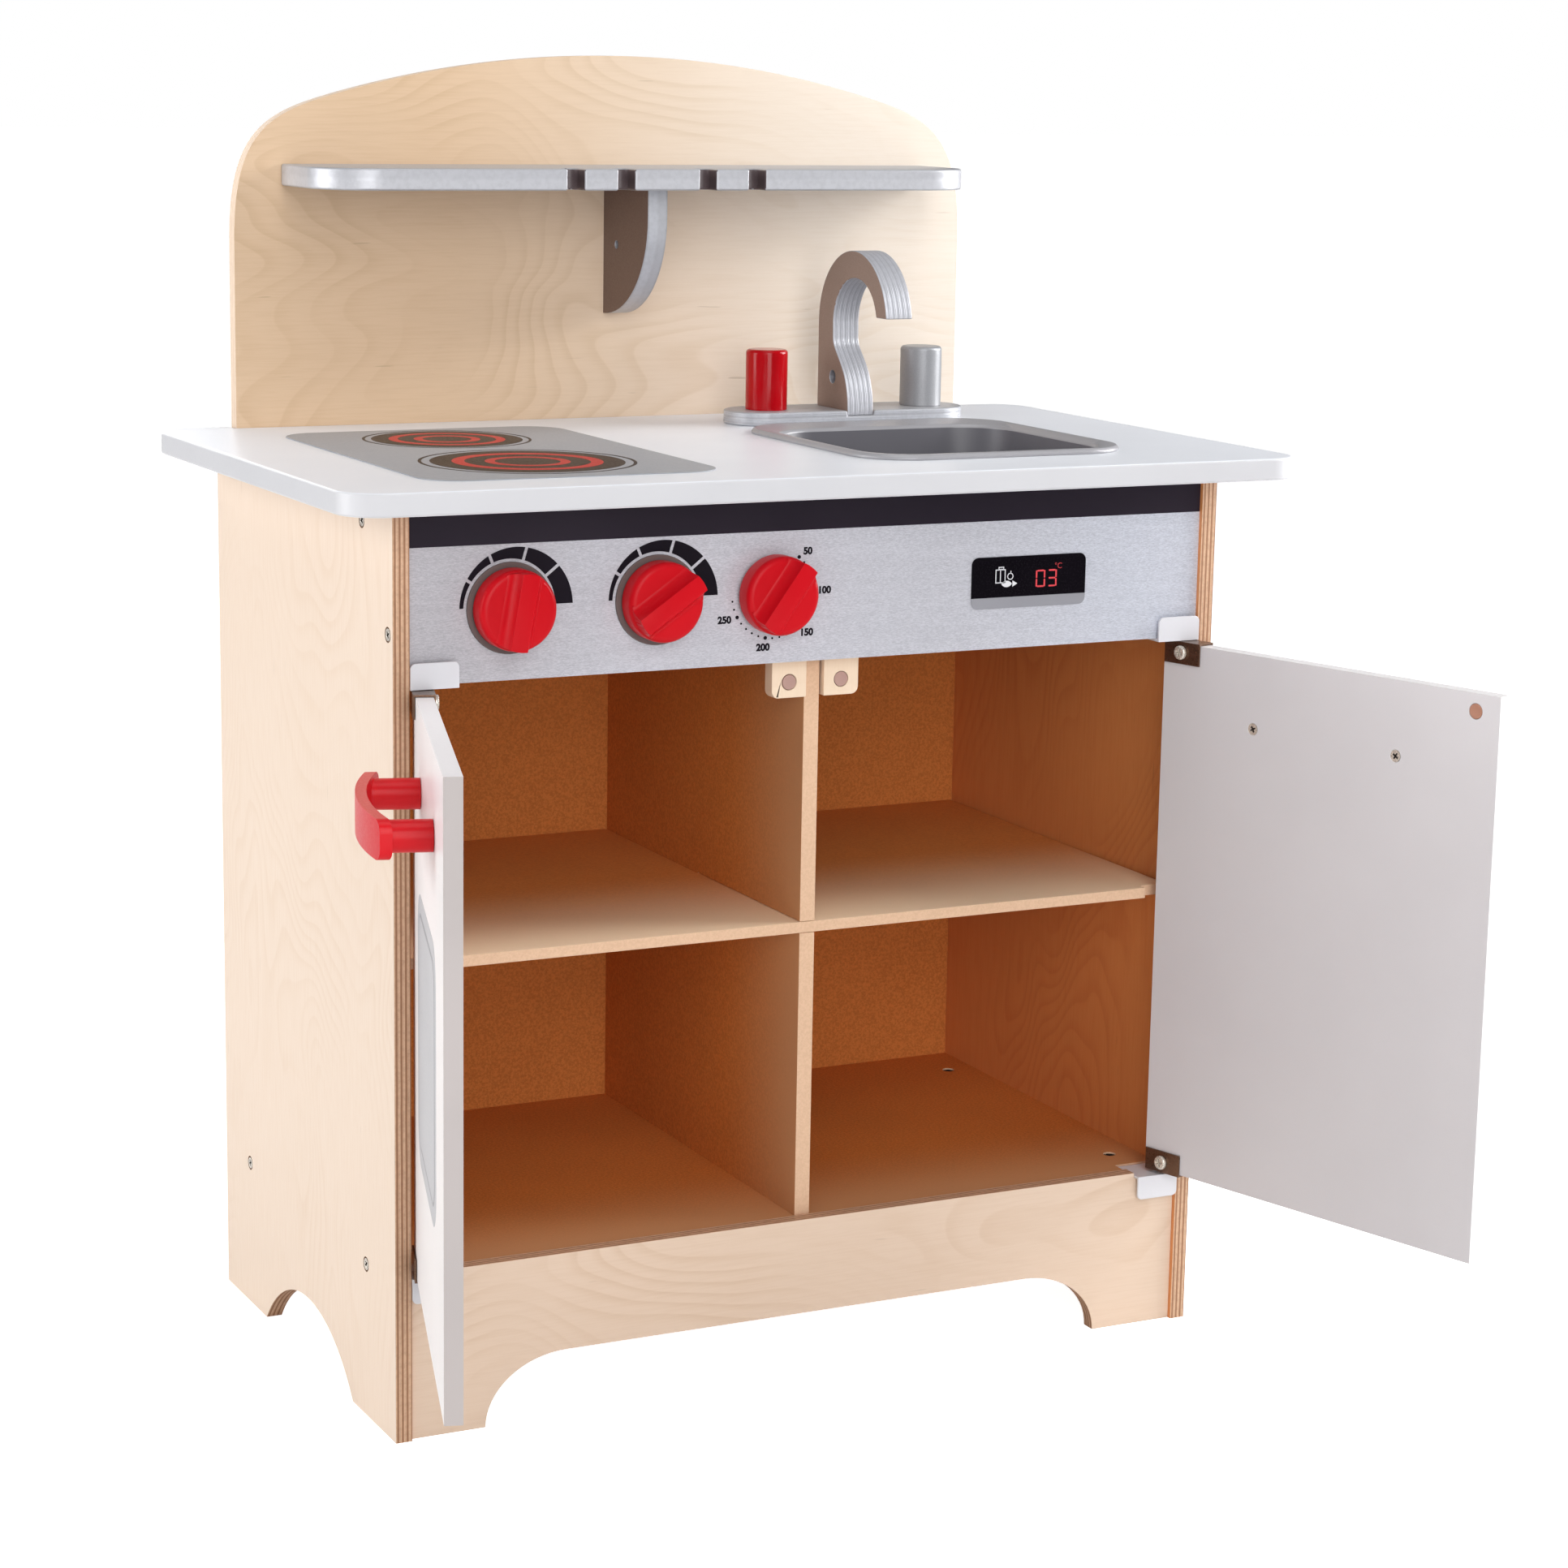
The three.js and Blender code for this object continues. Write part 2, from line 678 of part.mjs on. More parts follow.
// Basin: one sheet from its bottom, up the wall, over the rolled rim and down the inside
function sinkBasin() {
  const rimTop = sinkBowlDepth + sinkRimHeight;
  const roll = sinkRimHeight / 2;
  const rings = [
    sinkRing(-sinkTaper - sinkWall, sinkCorner - sinkTaper, 0),
    sinkRing(-sinkTaper, sinkCorner - sinkWall, sinkWall),
    sinkRing(0, sinkCorner, sinkBowlDepth),
    rimRing(0, sinkBowlDepth),
    rimRing(0, sinkBowlDepth + roll),
    rimRing(roll, rimTop),
    rimRing(2 * sinkWall + roll, rimTop),
    sinkRing(0, sinkCorner, rimTop - sinkWall),
    sinkRing(-sinkWall, sinkCorner - sinkWall, sinkBowlDepth),
    sinkRing(-sinkTaper - sinkWall, sinkCorner - sinkTaper, 2 * sinkWall),
    sinkRing(-sinkTaper - 2 * sinkWall, sinkCorner - sinkTaper - sinkWall, sinkWall),
  ];
  const geometry = shellOfRings(rings);
  const x = sinkCentre - sinkWidth / 2;
  return piece('sink_basin', 'basin', geometry, x, sinkFront, worktopTop - sinkBowlDepth);
}

// Tap base with a housing for the spout's foot and two peg holes for the handles
function tapBase() {
  const shape = roundedRectangle(tapBaseLength, tapBaseDepth, tapBaseDepth / 2);
  const housingWidth = spoutThickness + 2 * fit;
  const housingDepth = spoutSetback + spoutFoot + fit;
  const housing = block(housingWidth, housingDepth + overrun, spoutHousing + overrun);
  const housingX = (tapBaseLength - housingWidth) / 2;
  housing.translate(housingX, -overrun, tapBaseThickness - spoutHousing);
  const pegs = [-tapHandleSpacing / 2, tapHandleSpacing / 2].map((x) => {
    const hole = bar(tapPegRadius + fit, tapBaseThickness + 2 * overrun, 'z');
    return hole.translate(tapBaseLength / 2 + x, tapBaseDepth / 2, -overrun);
  });
  const geometry = carve(extrude(shape, tapBaseThickness, 'xy'), [housing, ...pegs]);
  return piece('tap_base', 'silver', geometry, tapCentre - tapBaseLength / 2, tapBaseFront, worktopTop);
}

// Spout: a hook sawn from thick board, with a crescent that thins towards its tip
function tapSpout() {
  const outerY = spoutFoot - spoutRadius;
  const boreY = outerY - spoutBoreShift;
  const waist = spoutFoot - spoutNeck;
  const outerTip = Math.PI - Math.asin(spoutTipRise / spoutRadius);
  const boreTip = Math.PI - Math.asin(spoutTipRise / spoutBoreRadius);
  const shape = new THREE.Shape();
  shape.moveTo(0, 0);
  shape.lineTo(spoutFoot, 0);
  shape.lineTo(spoutFoot, spoutRise);
  shape.absarc(outerY, spoutRise, spoutRadius, 0, outerTip);
  shape.absarc(boreY, spoutRise, spoutBoreRadius, boreTip, 0, true);
  shape.lineTo(waist, spoutWaistRise);
  shape.bezierCurveTo(waist, spoutWaistRise - spoutWaistLead, 0, spoutFlareLead, 0, 0);
  const hole = bar(nutHoleRadius, spoutThickness + 2 * overrun, 'x');
  hole.translate(-overrun, waist, spoutHoleRise);
  const geometry = carve(extrude(shape, spoutThickness, 'yz', roundSteps), [hole]);
  const z = worktopTop + tapBaseThickness - spoutHousing;
  const left = tapCentre - spoutThickness / 2;
  return piece('tap_spout', 'silver', geometry, left, tapBaseFront + spoutSetback, z);
}

// Tap handle: a short round bar with a peg that turns in the base
function tapHandle(side, finish, offset) {
  const points = [
    [0, 0],
    [tapHandleRadius, 0],
    [tapHandleRadius, tapHandleHeight - tapHandleRounding],
    [tapHandleRadius - tapHandleRounding, tapHandleHeight],
    [0, tapHandleHeight],
  ];
  const peg = bar(tapPegRadius, tapBaseThickness - fit + overrun, 'z');
  peg.translate(0, 0, fit - tapBaseThickness);
  const geometry = fuse(turned(points).rotateX(Math.PI / 2), [peg]);
  const y = tapBaseFront + tapBaseDepth / 2;
  return piece(`${side}_tap_handle`, finish, geometry, tapCentre + offset, y, worktopTop + tapBaseThickness);
}

// Dial: a round base and a tall rib with hollowed flanks, with its spindle behind it
function dialSection() {
  const rib = dialRibWidth / 2;
  const shape = new THREE.Shape();
  shape.moveTo(-dialRadius, 0);
  shape.lineTo(dialRadius, 0);
  shape.lineTo(dialRadius, dialBaseDepth);
  shape.quadraticCurveTo(rib, dialBaseDepth, rib, dialBaseDepth + dialFlankRise);
  shape.lineTo(rib, dialDepth - dialRounding);
  shape.lineTo(rib - dialRounding, dialDepth);
  shape.lineTo(dialRounding - rib, dialDepth);
  shape.lineTo(-rib, dialDepth - dialRounding);
  shape.lineTo(-rib, dialBaseDepth + dialFlankRise);
  shape.quadraticCurveTo(-rib, dialBaseDepth, -dialRadius, dialBaseDepth);
  return shape;
}

function dialBody() {
  const section = extrude(dialSection(), 2 * dialRadius, 'xy');
  section.translate(0, 0, -dialRadius).rotateZ(Math.PI).rotateY(Math.PI / 2);
  const outline = [
    [0, 0],
    [dialRadius, 0],
    [dialRadius, dialBaseDepth],
    [dialRadius - dialTaper, dialDepth - dialRounding],
    [dialRadius - dialTaper - dialRounding, dialDepth],
    [0, dialDepth],
  ];
  const spindle = bar(dialSpindleRadius, dialSpindleLength + dialBaseDepth / 2, 'y');
  spindle.translate(0, -dialBaseDepth / 2, 0);
  const body = common(section, turned(outline, 2 * roundSteps).rotateX(Math.PI));
  return fuse(body, [spindle]);
}

function dial(name, x, angle) {
  const mesh = piece(`${name}_dial`, 'red', dialBody(), x, frontSetback - dialStandoff, dialHeight);
  mesh.rotation.y = -THREE.MathUtils.degToRad(angle);
  return mesh;
}

function dialCollar(name, x) {
  const hole = bar(dialSpindleRadius + fit, collarThickness + 2 * overrun, 'y');
  const disc = bar(collarRadius, collarThickness, 'y', 2 * roundSteps);
  const geometry = carve(disc, [hole.translate(0, -overrun, 0)]);
  const y = frontSetback - collarThickness;
  return piece(`${name}_dial_collar`, 'collar', geometry, x, y, dialHeight);
}

// Catch block behind the control panel with a round magnet set into its front face
function catchBlock(side, x, hand) {
  const shape = new THREE.Shape();
  const round = catchCorner;
  shape.moveTo(0, catchHeight);
  shape.lineTo(0, round);
  shape.absarc(round, round, round, Math.PI, 1.5 * Math.PI);
  shape.lineTo(catchWidth, 0);
  shape.lineTo(catchWidth, catchHeight);
  const board = extrude(shape, catchDepth, 'xz');
  if (hand < 0) board.rotateZ(Math.PI).translate(catchWidth, catchDepth, 0);
  const pocket = bar(magnetRadius + fit, magnetDepth + overrun, 'y');
  pocket.translate(catchWidth / 2, -overrun, catchShown - magnetDrop);
  const geometry = carve(board, [pocket]);
  return piece(`${side}_catch_block`, 'birch', geometry, x, frontBoardBack, controlBottom - catchShown);
}

function catchMagnet(side, x) {
  const geometry = bar(magnetRadius, magnetDepth, 'y');
  const z = controlBottom - magnetDrop;
  return piece(`${side}_catch_magnet`, 'magnet', geometry, x + catchWidth / 2, frontBoardBack, z);
}

const catches = [
  { side: 'left', hand: 1, x: middle - plyThickness / 2 - catchWidth },
  { side: 'right', hand: -1, x: middle + plyThickness / 2 + rightCatchGap },
];

// Hinge plate: an angle fixed to the cabinet that carries the fixed hinge pin
function hingePlatePiece(side, hand, up) {
  const shape = new THREE.Shape();
  shape.moveTo(0, 0);
  shape.lineTo(hingePlateDepth, 0);
  shape.lineTo(hingePlateDepth, up * hingePlate);
  shape.lineTo(hingePlate, up * hingePlate);
  shape.lineTo(hingePlate, up * hingePlateHeight);
  shape.lineTo(0, up * hingePlateHeight);
  const base = up > 0 ? controlBottom - hingePlate : floorTop;
  const reach = up > 0 ? base - doorTop + pinReach : doorBottom - base + pinReach;
  const pin = bar(pinRadius, reach + hingePlate / 2, 'z');
  pin.translate(0, 0, up > 0 ? -reach : -hingePlate / 2);
  const y = frontSetback - hingePlateStandoff - hingePlate;
  const pinX = hand > 0 ? pinInset : hingePlateWidth - pinInset;
  pin.translate(pinX, pinPlaceY - y, 0);
  const tail = 2 * hingePlateCorner;
  const outline = roundedRectangle(hingePlateWidth, hingePlateHeight + tail, hingePlateCorner);
  const rounding = extrude(outline, hingePlateDepth, 'xz');
  rounding.translate(0, 0, up > 0 ? -tail : -hingePlateHeight);
  const angle = common(extrude(shape, hingePlateWidth, 'yz'), rounding);
  const geometry = fuse(angle, [pin]);
  const x = hand > 0 ? plyThickness : innerRight - hingePlateWidth;
  const end = up > 0 ? 'upper' : 'lower';
  return piece(`${side}_${end}_hinge_plate`, 'white', geometry, x, y, base);
}

// Everything on a door is placed from its hinge axis: along the door, across it and up.
function along(hand, distance) {
  return hand * (distance - pinFromDoorEnd);
}

function alongBlock(hand, start, length, y, depth, z, height) {
  const from = Math.min(along(hand, start), along(hand, start + length));
  return block(length, depth, height).translate(from, y, z);
}

const doorInner = plyThickness / 2;
const handlePlaces = [-handleSpacing / 2, handleSpacing / 2].map((x) => handleFromHinge + x);
const catchAlong = pinFromDoorEnd + middle - plyThickness / 2 - catchWidth / 2 - plyThickness - pinInset;
const handleZ = doorHeight - handleDrop;
const strikeZ = controlBottom - magnetDrop - doorBottom;
const strikeAlongs = {
  left: catchAlong,
  right: catchAlong - rightCatchGap,
};

function doorEnds() {
  return [
    { end: 'upper', up: 1, z: doorHeight },
    { end: 'lower', up: -1, z: 0 },
  ];
}

function doorBoard(side, hand) {
  const cutters = [];
  for (const { up, z } of doorEnds()) {
    const socket = bar(pinSocket, pinReach + fit + overrun, 'z');
    cutters.push(socket.translate(0, 0, up > 0 ? z - pinReach - fit : -overrun));
    const depth = clipScrewLength - clipSheet - fit;
    const hole = bar(screwRadius + fit, depth + overrun, 'y');
    const screwZ = z - up * (clipScrewDrop - fit - clipSheet);
    cutters.push(hole.translate(along(hand, clipScrewAlong), doorInner - depth, screwZ));
  }
  for (const place of handlePlaces) {
    const hole = countersunk(handleScrewLength, fit).rotateX(Math.PI);
    cutters.push(hole.translate(along(hand, place), doorInner, handleZ));
  }
  const pocket = bar(strikeRadius + fit, strikeDepth + fit + overrun, 'y');
  const pocketY = doorInner - strikeDepth - fit;
  cutters.push(pocket.translate(along(hand, strikeAlongs[side]), pocketY, strikeZ));
  const board = alongBlock(hand, 0, doorWidth, -doorInner, plyThickness, 0, doorHeight);
  return piece(`${side}_door`, 'white', carve(board, cutters), 0, 0, 0);
}

// Hinge clip: a sheet folded round the door's corner, held by one screw from the inside
function hingeClip(side, hand, { end, up, z }) {
  const inside = doorInner + fit;
  const outside = inside + clipSheet;
  const crown = up * (fit + clipSheet);
  const rim = crown - up * clipHeight;
  const shape = new THREE.Shape();
  shape.moveTo(-outside, crown);
  shape.lineTo(outside, crown);
  shape.lineTo(outside, rim);
  shape.lineTo(inside, rim);
  shape.lineTo(inside, up * fit);
  shape.lineTo(-inside, up * fit);
  shape.lineTo(-inside, rim);
  shape.lineTo(-outside, rim);
  const start = Math.min(along(hand, clipStart), along(hand, clipStart + clipLength));
  const sheet = extrude(shape, clipLength, 'yz').translate(start, 0, 0);
  const eye = bar(pinSocket, 2 * overrun, 'z').translate(0, 0, -overrun);
  const hole = bar(screwRadius + fit, overrun, 'y');
  hole.translate(along(hand, clipScrewAlong), doorInner, crown - up * clipScrewDrop);
  return piece(`${side}_${end}_hinge_clip`, 'bronze', carve(sheet, [eye, hole]), 0, 0, z);
}

function clipScrew(side, hand, { end, up, z }) {
  const points = [
    [0, 0],
    [clipScrewHeadRadius / 2, 0],
    [clipScrewHeadRadius, clipScrewHeadDepth / 2],
    [clipScrewHeadRadius, clipScrewHeadDepth],
    [screwRadius, clipScrewHeadDepth],
    [screwRadius, clipScrewHeadDepth + clipScrewLength],
    [0, clipScrewHeadDepth + clipScrewLength],
  ];
  const geometry = turned(points).rotateX(Math.PI);
  const y = doorInner + clipSheet + 2 * fit + clipScrewHeadDepth;
  const screwZ = z + up * (fit + clipSheet - clipScrewDrop);
  return piece(`${side}_${end}_clip_screw`, 'bronze', geometry, along(hand, clipScrewAlong), y, screwZ);
}

// Door handle: a bowed grip on two round posts
function handleGrip() {
  const half = handleLength / 2;
  const rise = handleReach - handleEndReach;
  const radius = (half * half + rise * rise) / (2 * rise);
  const angle = Math.asin(half / radius);
  const inner = radius - handleThickness;
  const centre = handleReach - radius;
  const shape = new THREE.Shape();
  shape.absarc(0, centre, radius - handleRounding, Math.PI / 2 - angle, Math.PI / 2 + angle);
  shape.absarc(0, centre, inner + handleRounding, Math.PI / 2 + angle, Math.PI / 2 - angle, true);
  const options = {
    depth: handleHeight - 2 * handleRounding,
    bevelThickness: handleRounding,
    bevelSize: handleRounding,
    bevelSegments: 2,
    curveSegments: roundSteps,
  };
  const geometry = new THREE.ExtrudeGeometry(shape, options);
  geometry.translate(0, 0, handleRounding - handleHeight / 2).rotateZ(Math.PI);
  const outline = roundedRectangle(handleLength, handleHeight, handleEndRounding);
  const ends = extrude(outline, 2 * handleReach, 'xz');
  return common(geometry, ends.translate(-half, -handleReach - overrun, -handleHeight / 2));
}

function doorHandle(side, hand) {
  const postLength = handleReach - handleThickness;
  const posts = [-handleSpacing / 2, handleSpacing / 2].map((x) => {
    return bar(handlePostRadius, postLength, 'y').translate(x, -postLength, 0);
  });
  const holes = [-handleSpacing / 2, handleSpacing / 2].map((x) => {
    const depth = handleScrewLength - plyThickness;
    const hole = bar(screwRadius + fit, depth + overrun, 'y');
    return hole.translate(x, -depth, 0);
  });
  const geometry = carve(fuse(handleGrip(), posts), holes);
  const x = along(hand, handleFromHinge);
  return piece(`${side}_door_handle`, 'red', geometry, x, -doorInner - fit, handleZ);
}

function handleScrew(side, hand, place, i) {
  const geometry = countersunk(handleScrewLength).rotateX(Math.PI);
  const name = `${side}_handle_screw_${i + 1}`;
  return piece(name, 'steel', geometry, along(hand, place), doorInner, handleZ);
}

function strikeDisc(side, hand) {
  const geometry = bar(strikeRadius, strikeDepth, 'y');
  const x = along(hand, strikeAlongs[side]);
  return piece(`${side}_strike_disc`, 'steel', geometry, x, doorInner - strikeDepth, strikeZ);
}

function door(side, hand, angle) {
  const group = new THREE.Group();
  group.add(doorBoard(side, hand), doorHandle(side, hand), strikeDisc(side, hand));
  group.add(...handlePlaces.map((place, i) => handleScrew(side, hand, place, i)));
  for (const end of doorEnds()) {
    group.add(hingeClip(side, hand, end), clipScrew(side, hand, end));
  }
  const pinX = hand > 0 ? plyThickness + pinInset : innerRight - pinInset;
  group.position.set(pinX, pinPlaceY, doorBottom);
  group.rotation.z = -hand * THREE.MathUtils.degToRad(angle);
  return group;
}

function carcass() {
  return [
    sidePanel('left', 1),
    sidePanel('right', -1),
    backPanel(),
    floorBoard(),
    kickBoard(),
    controlPanel(),
    displayPlate(),
    middleShelf(),
    divider(),
    cleat('left', 1),
    cleat('right', -1),
    ...sideScrewSet('left', 1),
    ...sideScrewSet('right', -1),
  ];
}

function upperWorks() {
  return [
    worktop(),
    hobSheet(),
    backboard(),
    topShelf(),
    shelfBracket(),
    sinkBasin(),
    tapBase(),
    tapSpout(),
    tapHandle('left', 'red', -tapHandleSpacing / 2),
    tapHandle('right', 'silver', tapHandleSpacing / 2),
  ];
}

function doorFittings() {
  const pieces = [];
  for (const [side, hand] of [['left', 1], ['right', -1]]) {
    for (const up of [1, -1]) pieces.push(hingePlatePiece(side, hand, up));
  }
  for (const { side, hand, x } of catches) {
    pieces.push(catchBlock(side, x, hand), catchMagnet(side, x));
  }
  return pieces;
}

function controls() {
  const pieces = dials.map(({ name, x, angle }) => dial(name, x, angle));
  for (const { name, x, collar } of dials) {
    if (collar) pieces.push(dialCollar(name, x));
  }
  return pieces;
}

// The origin is set under the middle of the whole part, on a fine grid that keeps faces touching.
const originGrid = 0.25;

function toGrid(value) {
  return Math.round(value / originGrid) * originGrid;
}

const kitchen = new THREE.Group();
kitchen.name = 'toy_kitchen';
kitchen.add(...carcass(), ...upperWorks(), ...doorFittings(), ...controls());
kitchen.add(door('left', 1, leftDoorAngle), door('right', -1, rightDoorAngle));
kitchen.updateMatrixWorld(true);
const bounds = new THREE.Box3().setFromObject(kitchen, true);
const centre = bounds.getCenter(new THREE.Vector3());
kitchen.position.set(-toGrid(centre.x), -toGrid(centre.y), -bounds.min.z);

export default kitchen;
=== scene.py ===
import json
import math

import bpy
from mathutils import Matrix, Vector


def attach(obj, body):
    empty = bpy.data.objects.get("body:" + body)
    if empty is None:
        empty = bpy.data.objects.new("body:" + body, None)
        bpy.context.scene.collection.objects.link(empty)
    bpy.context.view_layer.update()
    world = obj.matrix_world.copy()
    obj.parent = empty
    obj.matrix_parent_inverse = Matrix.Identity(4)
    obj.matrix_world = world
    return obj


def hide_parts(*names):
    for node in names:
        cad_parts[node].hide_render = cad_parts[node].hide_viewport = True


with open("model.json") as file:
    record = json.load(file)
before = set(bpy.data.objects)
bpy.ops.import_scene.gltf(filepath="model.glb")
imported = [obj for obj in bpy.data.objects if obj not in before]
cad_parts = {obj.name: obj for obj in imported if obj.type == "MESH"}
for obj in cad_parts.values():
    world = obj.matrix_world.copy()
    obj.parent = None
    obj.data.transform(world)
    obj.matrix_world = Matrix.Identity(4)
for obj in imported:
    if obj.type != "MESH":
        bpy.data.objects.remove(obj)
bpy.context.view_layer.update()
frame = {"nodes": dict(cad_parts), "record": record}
bpy.ops.object.select_all(action="DESELECT")

NODES = frame["nodes"]
BODY_OF = {n: body for body, members in frame["record"]["behaviour"]["bodies"].items() for n in members}

X, Y, Z = 0, 1, 2
MM = 0.001
CABINET = "cabinet"

# How far a broad face leans along its board's axis, and the backdrop's share of light
BROAD = 0.75
WORLD_LIGHT = 0.15

# Sizes in millimetres from the cabinet's lower front left corner
ORIGIN = Vector((240.25, 40.75, 0))
WIDTH = 482.5
PLY = 9
PANEL_FRONT = 2.5
BAND_FOOT = 467.5
WORKTOP_TOP = 500
HOB_TOP = 500.5
BACKBOARD_FRONT = 280.5
PRINT, SUNK = 0.15, 0.05
DIALS = {"left": (63.5, 80), "middle": (145, 34), "right": (211.5, 54)}
DIAL_Z = 435
DIAL_BACK = -0.5
DISPLAY_FRONT = 2.0
DISPLAY_STRIP = 426
DOORS = {"left": (1, 18, -107.25), "right": (-1, 464.5, 106.5)}
DOOR_PIN_Y = 6.75
DOOR_BOTTOM = 91.5
DOOR_START = 4.5
DOOR_HALF = 4.5
HANDLE_ALONG, HANDLE_UP, HANDLE_HALF = 113.5, 263, 48.5
CLIP_ALONG, CLIP_BACK, CLIPS = 13, 8, (("upper", 298.75), ("lower", 4.75))
SIDE_SCREWS = {"control": (7, 424), "cleat": (44, 477), "floor_front": (44, 84), "floor_rear": (237, 84)}
FLOOR_NUTS = [(x, y) for x in (26.5, 456) for y in (44, 237)]

# Where a painted light or shade along the width starts to turn and has turned
VENEER_LIGHT_SPAN = (110, 430)
FILM_SHADE_SPAN = (150, 20)
FILM_LIGHT_SPAN = (310, 450)


def at(x, y, z):
    """A place given in millimetres from the cabinet's lower front left corner, in metres."""
    return (Vector((x, y, z)) - ORIGIN) * MM


def on_door(side):
    """The door's own frame: along it from the hinge pin, through it, and up."""
    _, x, angle = DOORS[side]
    return Matrix.Translation(at(x, DOOR_PIN_Y, DOOR_BOTTOM)) @ Matrix.Rotation(math.radians(angle), 4, "Z")


def door_spot(side, along, through, up):
    """A place on the door in millimetres: from its hinge edge, through it from its middle, and up."""
    hand = DOORS[side][0]
    return on_door(side) @ Matrix.Translation(Vector((hand * (along - DOOR_START), through, up)) * MM)


# ---- handling
def only(obj):
    """Makes one object the only one selected, and active."""
    bpy.ops.object.select_all(action="DESELECT")
    obj.select_set(True)
    bpy.context.view_layer.objects.active = obj


def settle(obj):
    """Moves the object's place, turn and size into its mesh."""
    only(obj)
    bpy.ops.object.transform_apply(location=True, rotation=True, scale=True)
    return obj


def pick(obj, kind, test):
    """Selects vertices, edges or faces by their place, and stays in edit mode."""
    only(obj)
    bpy.context.tool_settings.mesh_select_mode = [kind == name for name in ("VERT", "EDGE", "FACE")]
    mesh = obj.data
    points = mesh.vertices
    for group in (mesh.vertices, mesh.edges, mesh.polygons):
        for item in group:
            item.select = False
    if kind == "VERT":
        for v in points:
            v.select = test(v.co)
    if kind == "EDGE":
        for e in mesh.edges:
            e.select = test(points[e.vertices[0]].co, points[e.vertices[1]].co)
    if kind == "FACE":
        for f in mesh.polygons:
            f.select = test(f.center, f.normal)
    bpy.ops.object.mode_set(mode="EDIT")


def done():
    """Leaves edit mode."""
    bpy.ops.object.mode_set(mode="OBJECT")


def apply_all(obj):
    only(obj)
    for modifier in list(obj.modifiers):
        bpy.ops.object.modifier_apply(modifier=modifier.name)


def smooth(obj, angle=35):
    only(obj)
    bpy.ops.object.shade_smooth_by_angle(angle=math.radians(angle))
    return obj


def soften(obj, width, segments=2, angle=35):
    """Rounds every edge that is sharper than the angle."""
    modifier = obj.modifiers.new("edge", "BEVEL")
    modifier.width = width * MM
    modifier.segments = segments
    modifier.limit_method = "ANGLE"
    modifier.angle_limit = math.radians(angle)
    apply_all(obj)
    return flatten_shading(smooth(obj, angle))


def flatten_shading(obj):
    """Keeps broad faces evenly lit right up to their rounded edges."""
    modifier = obj.modifiers.new("weighted", "WEIGHTED_NORMAL")
    modifier.keep_sharp = True
    modifier.weight = 100
    apply_all(obj)
    return obj


def combine(obj, other, operation):
    """Cuts, adds or meets a second body, which is used up."""
    modifier = obj.modifiers.new("combine", "BOOLEAN")
    modifier.operation = operation
    modifier.solver = "EXACT"
    modifier.object = other
    apply_all(obj)
    bpy.data.objects.remove(other)
    return obj


def join(name, pieces):
    """Several bodies become one piece."""
    bpy.ops.object.select_all(action="DESELECT")
    for piece in pieces:
        piece.select_set(True)
    bpy.context.view_layer.objects.active = pieces[0]
    bpy.ops.object.join()
    pieces[0].name = name
    return pieces[0]


def copied(obj, name, matrix=None):
    """One more of a finished piece, with its own mesh, set at its place."""
    twin = obj.copy()
    twin.data = obj.data.copy()
    twin.name = name
    bpy.context.collection.objects.link(twin)
    twin.matrix_world = matrix or Matrix()
    return settle(twin)


def cube(name, low, high):
    """A block between two corners in cabinet millimetres."""
    size = Vector(high) - Vector(low)
    bpy.ops.mesh.primitive_cube_add(size=1, location=at(*((Vector(low) + Vector(high)) / 2)))
    obj = bpy.context.object
    obj.name = name
    obj.scale = size * MM
    return settle(obj)


def rod(name, radius, length, centre, axis, sides=32):
    """A round bar about its centre in cabinet millimetres."""
    turn = {X: (0, math.pi / 2, 0), Y: (math.pi / 2, 0, 0), Z: (0, 0, 0)}[axis]
    bpy.ops.mesh.primitive_cylinder_add(
        vertices=sides, radius=radius * MM, depth=length * MM, location=at(*centre), rotation=turn)
    obj = bpy.context.object
    obj.name = name
    return settle(obj)


def upright(name, radius, length, middle, sides):
    """A round bar on the origin, about a height in millimetres."""
    bpy.ops.mesh.primitive_cylinder_add(
        vertices=sides, radius=radius * MM, depth=length * MM, location=(0, 0, middle * MM))
    obj = bpy.context.object
    obj.name = name
    return settle(obj)


def from_solid(node, name):
    """A copy of a solid's mesh, merged, with its flat faces made whole."""
    obj = bpy.data.objects.new(name, NODES[node].data.copy())
    bpy.context.collection.objects.link(obj)
    obj.data.materials.clear()
    only(obj)
    if obj.data.has_custom_normals:
        bpy.ops.mesh.customdata_custom_splitnormals_clear()
    pick(obj, "VERT", lambda c: True)
    bpy.ops.mesh.remove_doubles(threshold=0.01 * MM)
    bpy.ops.mesh.dissolve_limited(angle_limit=math.radians(0.5))
    done()
    return obj


def dress(obj, node):
    """The piece stands for a node: it rides on the same body, and the node is hidden."""
    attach(obj, BODY_OF[node])
    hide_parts(node)
    return obj


def plain_piece(node, piece, finish, width, segments=2):
    """A solid with softened edges and one finish all over."""
    return dress(paint(soften(from_solid(node, piece), width, segments), finish), node)


def add(obj, body):
    """A piece with no node of its own rides on a body."""
    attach(obj, body)
    return obj


def paint(obj, *materials):
    obj.data.materials.clear()
    for material in materials:
        obj.data.materials.append(material)
    return obj


def veneer(obj, axis, face, edge, back=None):
    """The broad faces get the veneer, and the sawn edges the layers."""
    paint(obj, face, edge, back or face)
    for polygon in obj.data.polygons:
        turn = polygon.normal[axis]
        polygon.material_index = 1 if abs(turn) < BROAD else (0 if turn < 0 else 2)
    return obj


def extra_finish(obj, material):
    """One more finish on a piece, given back as its number."""
    obj.data.materials.append(material)
    return len(obj.data.materials) - 1


